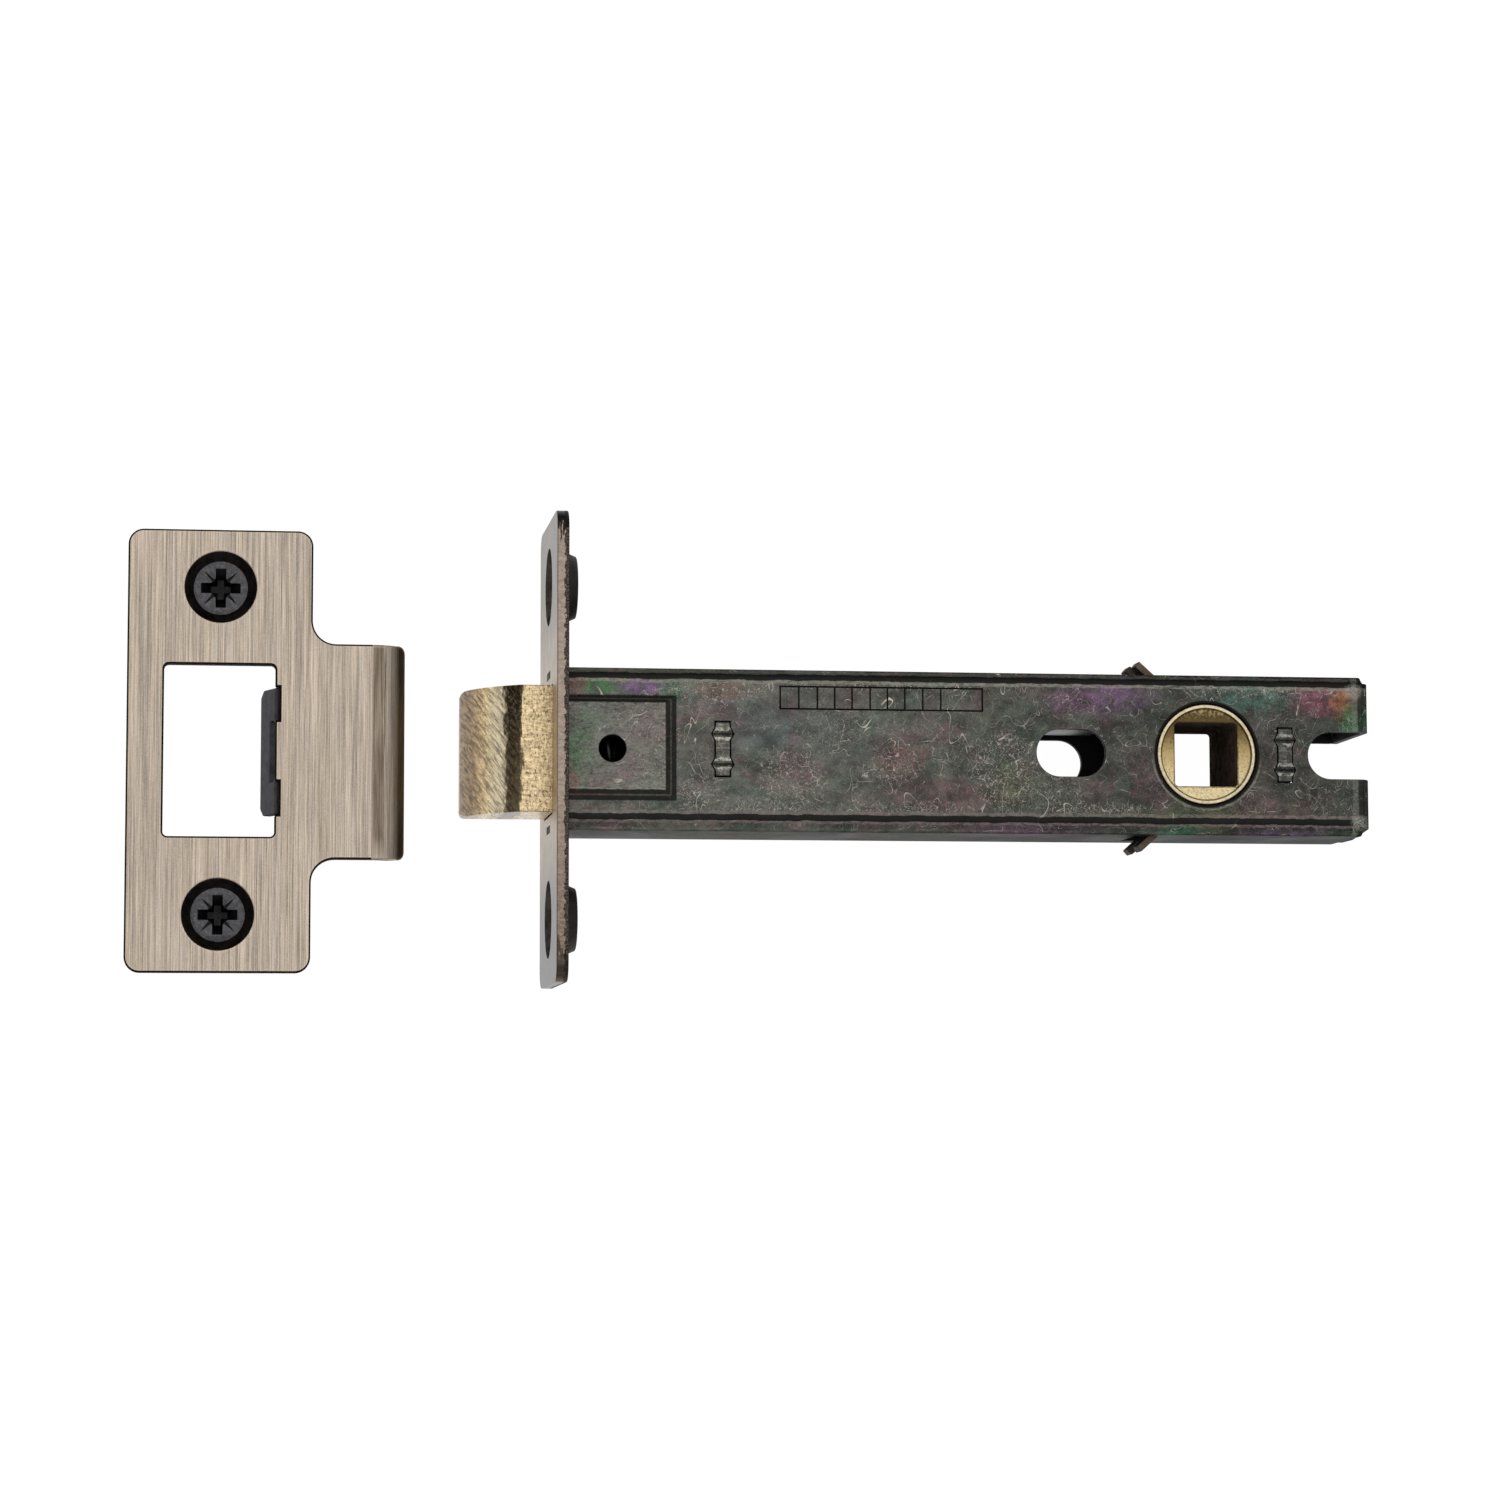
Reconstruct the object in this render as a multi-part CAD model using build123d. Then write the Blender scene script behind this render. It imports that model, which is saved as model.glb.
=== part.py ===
from build123d import *
import math
import os

# Tubular door latch of the bolt-through pattern, with its strike plate and the strike's two screws.
# Millimetres. X runs from the forend's front face into the door, Y along the length of the
# forend, Z along the spindle. The origin is in the forend's front face, on the case's axis.

# Case
case_length = 104.4            # forend's front face to the back of the case
spindle_to_back = 21.4         # spindle's axis to the back of the case
case_height = 20.4             # along Y
case_depth = 15.2              # along Z
sheet = 0.9                    # thickness of the case's sheet steel
bend_radius = 1.7              # outside radius of the case's folds
side_wall_setback = 1.0        # the side walls stop short of the back of the case
end_flap_step = 0.9            # the end flaps are this much narrower on each side at their fold
end_flap_step_low = 0.1        # and this much narrower further down
end_flap_taper_top = 6.0       # the flaps widen between these two levels
end_flap_taper_low = -1.0
end_flap_corner = 2.0
end_flap_gap = 0.1             # between the end flaps and the cover

# Pressed guide panels behind the forend
panel_end = 15.5               # where the pressed panel ends, from the forend's front face
panel_side_margin = 3.5        # from the case's side to the panel's border
panel_slope_end = 1.6          # width of the panel's sloping border at its end
panel_slope_upper = 1.0        # and along its upper side
panel_slope_lower = 1.75       # and along its lower side
panel_depth = 0.55
sight_hole_x = 7.4
sight_hole_radius = 1.7

# Openings through both faces of the case
slot_to_spindle = 17.5         # fixing screw slot's centre in front of the spindle
slot_length = 8.9
slot_width = 6.0
notch_to_spindle = 13.2        # fixing screw notch behind the spindle, open at the back
notch_width = 6.0

# Forend
forend_length = 58.5
forend_width = 24.8
forend_thickness = 1.5
forend_corner = 2.4
forend_screw_to_end = 8.25
forend_hole_radius = 2.3
forend_countersink_radius = 4.9
forend_cone_depth = 2.6        # depth of the pressed countersink's cone
forend_dimple_height = 1.9     # how far the pressed countersink stands out behind
forend_dimple_base_radius = 4.7
forend_dimple_tip_radius = 3.9
lug_width = 5.0                # riveting lugs of the case's side walls, along Z

# Latch bolt
bolt_side_clearance = 0.7      # between the bolt and the near and far faces of the case
bolt_reach = 10.9              # how far the bolt stands out of the forend
bevel_start = 4.05             # how far the bevel starts in front of the forend
nose_thickness = 2.6
nose_corner = 0.7
bevel_bulge = 1.05             # how far the bevel's curve stands out from its chord
bolt_opening_clearance = 0.15
pocket_radius = 4.3            # the spring's pocket in the back of the bolt
pocket_depth_ahead = 3.0       # the pocket reaches this far in front of the forend's front face

# Follower
spindle_square = 8.1
spindle_corner = 0.5
journal_radius = 6.42
journal_clearance = 0.06
journal_chamfer = 0.15
journal_rim_width = 0.5
journal_rim_height = 0.3       # how far the rim stands above the hub's end
journal_setback = 0.1          # the journals end this far below the case's faces
hub_radius = 6.3
flange_step = 1.0              # how far the flanges stand out from the hub
flange_inner_z = 3.1
flange_clearance = 0.15
arm_reach_past_bar = 0.1       # how far an arm's tip reaches past the outside of its draw bar
arm_half_thickness = 2.4
arm_tip_angle = 15.4           # degrees that the tip's land covers
arm_swing = 70.0               # degrees that the follower turns from rest to its stop

# Draw bars between the bolt and the follower
bar_thickness = 1.0
bar_half_width = 5.2
bar_hook_x = 3.0
bar_hook_depth = 2.0           # how deep the hook reaches into the bolt
bar_past_spindle = 2.0         # how far the draw bars reach behind the spindle's axis
bar_side_gap = 0.35            # between a draw bar and the case's side wall
bar_window_half_width = 2.9
bar_window_length = 5.5
bar_tab_half_width = 2.7
bar_tab_clearance = 0.45       # between the bar's tab and the follower's hub
arm_play = 0.25                # between an arm's tip and the tab that it pushes

# Bridges staked through both faces of the case
front_bridge_x = 21.15
rear_bridge_to_spindle = 10.2
bridge_thickness = 1.8
bridge_bar_clearance = 0.35    # between a bridge and the draw bars
tenon_length = 6.8             # along Y
tenon_slot_margin = 0.12
tenon_stand_out = 0.1
stake_pitch = 3.8              # between the two chisel grooves on a tenon
stake_width = 2.7              # across the metal that the chisel has spread
stake_length = 1.7
stake_depth = 0.35

# Follower's return slide
return_slide_to_spindle = 31.0 # front of the return slide to the spindle's axis
return_slide_block = 4.0
return_slide_bar_clearance = 0.55
return_slide_face_clearance = 0.4
fork_half_gap = 3.6
fork_play = 0.3                # between the fork's ends and the follower's arms
return_swing_share = 2.7       # millimetres that the fork moves for each radian of the follower
rod_radius = 1.7
rod_clearance = 0.08

# Springs
bolt_spring_wire = 0.9
bolt_spring_radius = 3.55      # mean radius of the coils
bolt_spring_turns = 8
return_spring_wire = 1.0
return_spring_radius = 3.1
return_spring_turns = 10
spring_seat_gap = 0.05

# Retaining barbs lanced out of the case's side walls
barb_to_spindle = 5.6          # root of the barbs in front of the spindle
barb_length = 2.95
barb_angle = 42.0
barb_width = 8.0
barb_notch = 1.3               # depth of the V between its two teeth
barb_window_margin = 0.2

# Strike plate, face up beside the latch
strike_centre_x = -41.1
strike_centre_y = -0.6
strike_height = 54.8
strike_width = 22.7
strike_thickness = 2.0
strike_corner = 1.9
strike_opening_width = 13.65
strike_opening_height = 21.3
strike_opening_corner = 0.6
strike_screw_spacing = 40.5
strike_countersink_radius = 4.45
lip_height = 26.7
lip_flat = 7.4                 # flat stretch of the lip beyond the plate's edge
lip_bend_radius = 5.0
lip_bend_angle = 57.0
lip_root_radius = 2.9
lip_corner = 1.1
tang_root_height = 7.5
tang_height = 15.7
tang_length = 4.7
tang_thickness = 1.2
tang_angle = 68.0
tang_corner = 0.9
tang_fold_groove = 0.5         # depth of the groove along the tang's fold
tang_fold_width = 1.6          # how far the groove reaches down the tang
tang_relief_depth = 0.55
tang_relief_half_height = 7.95

# Strike screws
screw_length = 19.0
screw_radius = 1.75
screw_head_radius = 3.375
screw_seat_clearance = 0.02
screw_tip_length = 3.5
screw_tip_radius = 0.35
screw_points_below_forend = 2.2  # the set lies on the points and the case's end, clear of the forend
recess_arm_half_length = 2.45
recess_arm_width = 1.24
recess_core_half = 1.3         # half the width of the recess's eight-sided core
recess_depth = 1.7
recess_tick_reach = 1.9        # how far the four thin marks between the arms reach, along X and Y
recess_tick_half_width = 0.15
recess_tick_depth = 0.3

# Sizes that follow from those above
half_height = case_height / 2
half_depth = case_depth / 2
inner_half_height = half_height - sheet
inner_half_depth = half_depth - sheet
backset = case_length - spindle_to_back
slot_centre_x = backset - slot_to_spindle
notch_start_x = backset + notch_to_spindle
rear_bridge_x = backset + rear_bridge_to_spindle
return_slide_front_x = backset - return_slide_to_spindle
barb_root_x = backset - barb_to_spindle
bar_rear_x = backset + bar_past_spindle
end_flap_half_width = half_height - end_flap_step
end_flap_low_half_width = half_height - end_flap_step_low
panel_half_height = half_height - panel_side_margin
forend_screw_spacing = forend_length - 2 * forend_screw_to_end
bolt_half_height = inner_half_height - bar_side_gap - bar_thickness
bolt_half_thickness = inner_half_depth - bolt_side_clearance
arm_radius = bolt_half_height + bar_thickness + arm_reach_past_bar
flange_radius = hub_radius + flange_step
half_swing = math.radians(arm_swing / 2)
bolt_stroke = 2 * arm_radius * math.sin(half_swing)
front_bridge_face = front_bridge_x - bridge_thickness / 2
bolt_rear_x = front_bridge_face - bolt_stroke - arm_play
bar_inner_y = bolt_half_height
bar_outer_y = bar_inner_y + bar_thickness
tab_front_x = backset - arm_radius * math.sin(half_swing) + arm_play
bridge_half_height = bar_inner_y - bridge_bar_clearance
return_slide_half_height = bar_inner_y - return_slide_bar_clearance
floor_z = -forend_width / 2 - screw_points_below_forend
strike_screw_sink = strike_countersink_radius - screw_head_radius
strike_face_z = floor_z + screw_length + strike_screw_sink


def block(x0, x1, y0, y1, z0, z1):
    """A block between two corners."""
    centre = Pos((x0 + x1) / 2, (y0 + y1) / 2, (z0 + z1) / 2)
    return centre * Box(x1 - x0, y1 - y0, z1 - z0)


def through_x(x0, x1, radius, y=0.0, z=0.0):
    """A round bar along X."""
    return Pos((x0 + x1) / 2, y, z) * Rot(0, 90, 0) * Cylinder(radius, x1 - x0)


def through_z(radius, x, y, z0, z1):
    """A round bar along Z."""
    return Pos(x, y, (z0 + z1) / 2) * Cylinder(radius, z1 - z0)


def turned_x(points):
    """A turned form about X from a list of (x, radius) points."""
    outline = make_face(Polyline([(x, r, 0) for x, r in points], close=True))
    return revolve(outline, Axis.X)


def turned_z(points):
    """A turned form about Z from a list of (radius, z) points."""
    outline = make_face(Polyline([(r, 0, z) for r, z in points], close=True))
    return revolve(outline, Axis.Z)


def folded_bar(x0, x1, half_y, z0, z1, radius):
    """A bar along X whose two upper long edges are rounded, like the outside of a folded channel."""
    bar = block(x0, x1, -half_y, half_y, z0, z1)
    return fillet(bar.edges().filter_by(Axis.X).group_by(Axis.Z)[-1], radius)


def panel_form(z_face, z_floor):
    """The sloping block that a pressed guide panel takes between two levels."""
    outer = Pos((forend_thickness + panel_end) / 2, 0, z_face) * Rectangle(
        panel_end - forend_thickness, 2 * panel_half_height
    )
    floor_end = panel_end - panel_slope_end
    floor_low = -panel_half_height + panel_slope_lower
    floor_high = panel_half_height - panel_slope_upper
    floor = Pos((forend_thickness + floor_end) / 2, (floor_low + floor_high) / 2, z_floor) * Rectangle(
        floor_end - forend_thickness, floor_high - floor_low
    )
    return loft([outer, floor])


def stake_outline(margin):
    """The six-cornered spread of metal at one chisel groove, with a margin round it."""
    half_x = bridge_thickness / 2
    tip_x = stake_width / 2 + margin
    half_y = stake_length / 2 + margin
    return make_face(Polyline([
        (-tip_x, 0), (-half_x, -half_y), (half_x, -half_y),
        (tip_x, 0), (half_x, half_y), (-half_x, half_y),
    ], close=True))


def face_openings(z0, z1):
    """Every opening that goes through one face of the case, between two levels."""
    height = z1 - z0
    level = Pos(0, 0, z0)
    bearing = through_z(journal_radius + journal_clearance, backset, 0, z0, z1)
    sight = through_z(sight_hole_radius, sight_hole_x, 0, z0, z1)
    slot = extrude(level * Pos(slot_centre_x, 0) * SlotOverall(slot_length, slot_width), height)
    notch_centre = notch_start_x + notch_width / 2
    notch = block(notch_centre, case_length + 1, -notch_width / 2, notch_width / 2, z0, z1)
    notch += through_z(notch_width / 2, notch_centre, 0, z0, z1)
    cuts = bearing + sight + slot + notch
    half_slot_x = bridge_thickness / 2 + tenon_slot_margin
    half_slot_y = tenon_length / 2 + tenon_slot_margin
    spread = extrude(level * stake_outline(tenon_slot_margin), height)
    for x in (front_bridge_x, rear_bridge_x):
        cuts += block(x - half_slot_x, x + half_slot_x, -half_slot_y, half_slot_y, z0, z1)
        cuts += Pos(x, stake_pitch / 2) * spread
        cuts += Pos(x, -stake_pitch / 2) * spread
    return cuts


def barb(side):
    """One lanced barb with two teeth, on the side wall at side times +Y."""
    slope = math.radians(barb_angle)
    along = (-math.cos(slope), math.sin(slope))
    inward = (-math.sin(slope), -math.cos(slope))
    root = (barb_root_x, half_height)
    tip = (root[0] + barb_length * along[0], root[1] + barb_length * along[1])
    under_tip = (tip[0] + sheet * inward[0], tip[1] + sheet * inward[1])
    under_root = (root[0] + sheet * inward[0], root[1] + sheet * inward[1])
    seat = (barb_root_x, inner_half_height)
    outline = make_face(Polyline([root, tip, under_tip, under_root, seat], close=True))
    tooth = Pos(0, 0, -barb_width / 2) * extrude(outline, barb_width)
    mouth = tip[0] - sheet
    valley = tip[0] + barb_notch
    half_mouth = barb_width / 4
    wedge = make_face(
        Polyline([(mouth, 0, -half_mouth), (mouth, 0, half_mouth), (valley, 0, 0)], close=True)
    )
    tooth -= extrude(wedge, 2 * case_height, dir=(0, 1, 0), both=True)
    return tooth if side > 0 else mirror(tooth, Plane.XZ)


def end_flap_form(x0, x1):
    """The block that the end flaps are folded from: narrow at the fold, full width further down."""
    right_side = [
        (end_flap_low_half_width, -half_depth), (end_flap_low_half_width, end_flap_taper_low),
        (end_flap_half_width, end_flap_taper_top), (end_flap_half_width, half_depth),
    ]
    left_side = [(-y, z) for y, z in reversed(right_side)]
    outline = make_face(Polyline(right_side + left_side, close=True))
    return extrude(Plane.YZ.offset(x0) * outline, x1 - x0)


def case_body():
    """The folded channel: near face, two side walls, two end flaps, barbs and riveting lugs."""
    wall_end = case_length - side_wall_setback
    shell = folded_bar(forend_thickness, wall_end, half_height, -half_depth, half_depth, bend_radius)
    hollow = folded_bar(
        forend_thickness - 1, wall_end + 1, inner_half_height,
        -half_depth - 1, inner_half_depth, bend_radius - sheet,
    )
    shell -= hollow
    # End flaps, folded down from the near face
    flap = end_flap_form(case_length - 2 * bend_radius, case_length)
    flap = fillet(flap.edges().filter_by(Axis.Y).group_by(Axis.Z)[-1].sort_by(Axis.X)[-1], bend_radius)
    flap = fillet(flap.edges().filter_by(Axis.X).group_by(Axis.Z)[0], end_flap_corner)
    flap -= block(0, wall_end, -case_height, case_height, -case_height, case_height)
    under_flap = block(wall_end - 1, case_length - sheet, -half_height, half_height,
                       -half_depth - 1, inner_half_depth)
    under_flap = fillet(
        under_flap.edges().filter_by(Axis.Y).group_by(Axis.Z)[-1].sort_by(Axis.X)[-1],
        bend_radius - sheet,
    )
    shell += flap - under_flap
    # Pressed guide panel, then every opening in the near face
    shell += panel_form(inner_half_depth, inner_half_depth - panel_depth)
    shell -= panel_form(half_depth, half_depth - panel_depth)
    shell -= face_openings(inner_half_depth - 1, half_depth + 1)
    # The notch also parts the end flap in two
    shell -= block(case_length - side_wall_setback, case_length + 1,
                   -notch_width / 2, notch_width / 2, -half_depth - 1, half_depth)
    # Barbs and the windows that they were cut from
    window_front = barb_root_x - barb_length
    half_window = barb_width / 2 + barb_window_margin
    for side in (1, -1):
        low, high = sorted((side * (inner_half_height - 1), side * (half_height + 1)))
        shell -= block(window_front, barb_root_x, low, high, -half_window, half_window)
        shell += barb(side)
        low, high = sorted((side * inner_half_height, side * half_height))
        shell += block(0, forend_thickness, low, high, -lug_width / 2, lug_width / 2)
    return shell


def case_cover():
    """The flat far face of the case, seated between the side walls."""
    end = case_length - sheet - end_flap_gap
    plate = block(forend_thickness, end, -inner_half_height, inner_half_height,
                  -half_depth, -inner_half_depth)
    plate += panel_form(-inner_half_depth, -inner_half_depth + panel_depth)
    plate -= panel_form(-half_depth, -half_depth + panel_depth)
    return plate - face_openings(-half_depth - 1, -inner_half_depth + 1)


def forend_plate():
    """The face plate with its bolt opening, riveting slots and two pressed countersinks."""
    plate = block(0, forend_thickness, -forend_length / 2, forend_length / 2,
                  -forend_width / 2, forend_width / 2)
    plate = fillet(plate.edges().filter_by(Axis.X), forend_corner)
    opening_y = bolt_half_height + bolt_opening_clearance
    opening_z = bolt_half_thickness + bolt_opening_clearance
    plate -= block(-1, forend_thickness + 1, -opening_y, opening_y, -opening_z, opening_z)
    for side in (1, -1):
        low, high = sorted((side * inner_half_height, side * half_height))
        plate -= block(-1, forend_thickness + 1, low, high, -lug_width / 2, lug_width / 2)
        y = side * forend_screw_spacing / 2
        back = forend_thickness + forend_dimple_height
        dimple = turned_x([
            (0, 0), (0, forend_dimple_base_radius), (forend_thickness, forend_dimple_base_radius),
            (back, forend_dimple_tip_radius), (back, 0),
        ])
        cone = turned_x([
            (-1, 0), (-1, forend_countersink_radius), (0, forend_countersink_radius),
            (forend_cone_depth, forend_hole_radius), (back + 1, forend_hole_radius), (back + 1, 0),
        ])
        plate = plate + Pos(0, y, 0) * dimple - Pos(0, y, 0) * cone
    return plate


def bridge(x, bore):
    """A flat bridge across the case, staked through both faces, with a round bore if bore is above 0."""
    half_x = bridge_thickness / 2
    body = block(x - half_x, x + half_x, -bridge_half_height, bridge_half_height,
                 -inner_half_depth, inner_half_depth)
    reach = half_depth + tenon_stand_out
    tenon = block(x - half_x, x + half_x, -tenon_length / 2, tenon_length / 2, -reach, reach)
    body += tenon
    half_stake = stake_length / 2
    spread = stake_outline(0)
    groove = make_face(Polyline([
        (0, -half_stake / 2, reach), (0, half_stake / 2, reach), (0, 0, reach - stake_depth),
    ], close=True))
    for y in (stake_pitch / 2, -stake_pitch / 2):
        for face in (1, -1):
            level = reach - sheet if face > 0 else -reach
            body += Pos(x, y, level) * extrude(spread, sheet)
            chisel = extrude(groove, stake_width, dir=(1, 0, 0), both=True)
            chisel = chisel if face > 0 else mirror(chisel, Plane.XY)
            body -= Pos(x, y, 0) * chisel
    if bore > 0:
        body -= through_x(x - 2 * half_x, x + 2 * half_x, bore)
    return body


def latch_bolt():
    """The bolt's solid head: convex bevel, spring pocket, and notches for the draw bars' hooks."""
    nose = -bolt_reach
    flat_end = (-bevel_start, bolt_half_thickness)
    nose_end = (nose, -bolt_half_thickness + nose_thickness)
    chord_x = flat_end[0] - nose_end[0]
    chord_z = flat_end[1] - nose_end[1]
    chord = math.hypot(chord_x, chord_z)
    middle_x = (flat_end[0] + nose_end[0]) / 2 - bevel_bulge * chord_z / chord
    middle_z = (flat_end[1] + nose_end[1]) / 2 + bevel_bulge * chord_x / chord
    lower = Polyline([
        (*flat_end, 0), (bolt_rear_x, bolt_half_thickness, 0),
        (bolt_rear_x, -bolt_half_thickness, 0), (nose, -bolt_half_thickness, 0), (*nose_end, 0),
    ])
    bevel = ThreePointArc((*nose_end, 0), (middle_x, middle_z, 0), (*flat_end, 0))
    side_view = make_face(lower + bevel)
    head = Rot(90, 0, 0) * extrude(side_view, bolt_half_height, both=True)
    nose_edges = head.edges().filter_by(Axis.Z).group_by(Axis.X)[0]
    head = fillet(nose_edges, nose_corner)
    head -= through_x(-pocket_depth_ahead, bolt_rear_x + 1, pocket_radius)
    # Sight slots into the pocket, open at the back
    for face in (1, -1):
        low, high = sorted((0, face * (bolt_half_thickness + 1)))
        head -= block(sight_hole_x, bolt_rear_x + 1, -sight_hole_radius, sight_hole_radius, low, high)
        head -= through_z(sight_hole_radius, sight_hole_x, 0, low, high)
    for side in (1, -1):
        low, high = sorted((side * (bolt_half_height - bar_hook_depth), side * (bolt_half_height + 1)))
        head -= block(bar_hook_x, bar_hook_x + bar_thickness, low, high, -bar_half_width, bar_half_width)
    return head


def draw_bar(side):
    """A strip that hooks into the bolt and carries the tab that one arm of the follower pushes."""
    bar = block(bar_hook_x, bar_rear_x, bar_inner_y, bar_outer_y, -bar_half_width, bar_half_width)
    bar += block(bar_hook_x, bar_hook_x + bar_thickness, bar_inner_y - bar_hook_depth, bar_outer_y,
                 -bar_half_width, bar_half_width)
    bar -= block(tab_front_x - bar_window_length, tab_front_x, bar_inner_y - 1, bar_outer_y + 1,
                 -bar_window_half_width, bar_window_half_width)
    bar += block(tab_front_x, tab_front_x + bar_thickness, hub_radius + bar_tab_clearance, bar_outer_y,
                 -bar_tab_half_width, bar_tab_half_width)
    return bar if side > 0 else mirror(bar, Plane.XZ)


def arm_outline():
    """An arm of the follower, pointing along +Y, hollowed behind its tip so that only the tip pushes."""
    tip = (0.0, arm_radius)
    land = math.radians(arm_tip_angle)
    front_tip = (-arm_radius * math.sin(land), arm_radius * math.cos(land))
    root_rear = (-hub_radius * 0.05, hub_radius * 0.94)
    root_front = (-hub_radius * 0.66, hub_radius * 0.7)
    middle = (-hub_radius * 0.18, (tip[1] + root_rear[1]) / 2)
    hollow = ThreePointArc(tip, middle, root_rear)
    rest = Polyline([root_rear, root_front, front_tip, tip])
    return make_face(hollow + rest)


def follower():
    """The turned hub with its square, two flanges, two journals and two forward-leaning arms."""
    end = half_depth - journal_setback
    flange_outer = inner_half_depth - flange_clearance
    chamfered = journal_radius - journal_chamfer
    rim_inside = journal_radius - journal_rim_width
    dish_radius = rim_inside - journal_rim_height / 2
    dish = end - journal_rim_height
    hub = turned_z([
        (0, -dish), (dish_radius, -dish), (rim_inside, -end),
        (chamfered, -end), (journal_radius, -end + journal_chamfer),
        (journal_radius, -flange_outer), (flange_radius, -flange_outer),
        (flange_radius, -flange_inner_z), (hub_radius, -flange_inner_z),
        (hub_radius, flange_inner_z), (flange_radius, flange_inner_z),
        (flange_radius, flange_outer), (journal_radius, flange_outer),
        (journal_radius, end - journal_chamfer), (chamfered, end), (rim_inside, end),
        (dish_radius, dish), (0, dish),
    ])
    upper = Rot(0, 0, arm_swing / 2) * Pos(0, 0, -arm_half_thickness) * extrude(
        arm_outline(), 2 * arm_half_thickness
    )
    hub += upper
    hub += mirror(upper, Plane.XZ)
    square = RectangleRounded(spindle_square, spindle_square, spindle_corner)
    hub -= Pos(0, 0, -case_depth) * extrude(square, 2 * case_depth)
    return Pos(backset, 0, 0) * hub


def return_slide():
    """The fork that the return spring presses against both arms of the follower."""
    back = return_slide_front_x + return_slide_block
    reach = arm_radius * math.sin(half_swing + math.radians(arm_tip_angle))
    tip_x = backset - reach - fork_play
    inner_x = tip_x - 0.57
    outer_x = tip_x + 0.45
    half_z = inner_half_depth - return_slide_face_clearance
    outline = make_face(Polyline([
        (return_slide_front_x, -return_slide_half_height), (outer_x, -return_slide_half_height),
        (inner_x, -fork_half_gap), (back, -fork_half_gap), (back, fork_half_gap),
        (inner_x, fork_half_gap), (outer_x, return_slide_half_height),
        (return_slide_front_x, return_slide_half_height),
    ], close=True))
    fork = Pos(0, 0, -half_z) * extrude(outline, 2 * half_z)
    return fork - through_x(return_slide_front_x - 1, back + 1, rod_radius)


def return_rod():
    """The rod that carries the return spring and runs in the front bridge."""
    return through_x(front_bridge_x, return_slide_front_x + return_slide_block, rod_radius)


def coil(x0, x1, radius, wire, turns):
    """An open-coiled compression spring along X between two seats."""
    start = x0 + wire / 2 + spring_seat_gap
    length = x1 - x0 - wire - 2 * spring_seat_gap
    path = Helix(pitch=length / turns, height=length, radius=radius)
    section = Plane(origin=path @ 0, z_dir=path % 0) * Circle(wire / 2)
    wire_body = sweep(section, path=path)
    return Pos(start, 0, 0) * Rot(0, 90, 0) * wire_body


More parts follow.
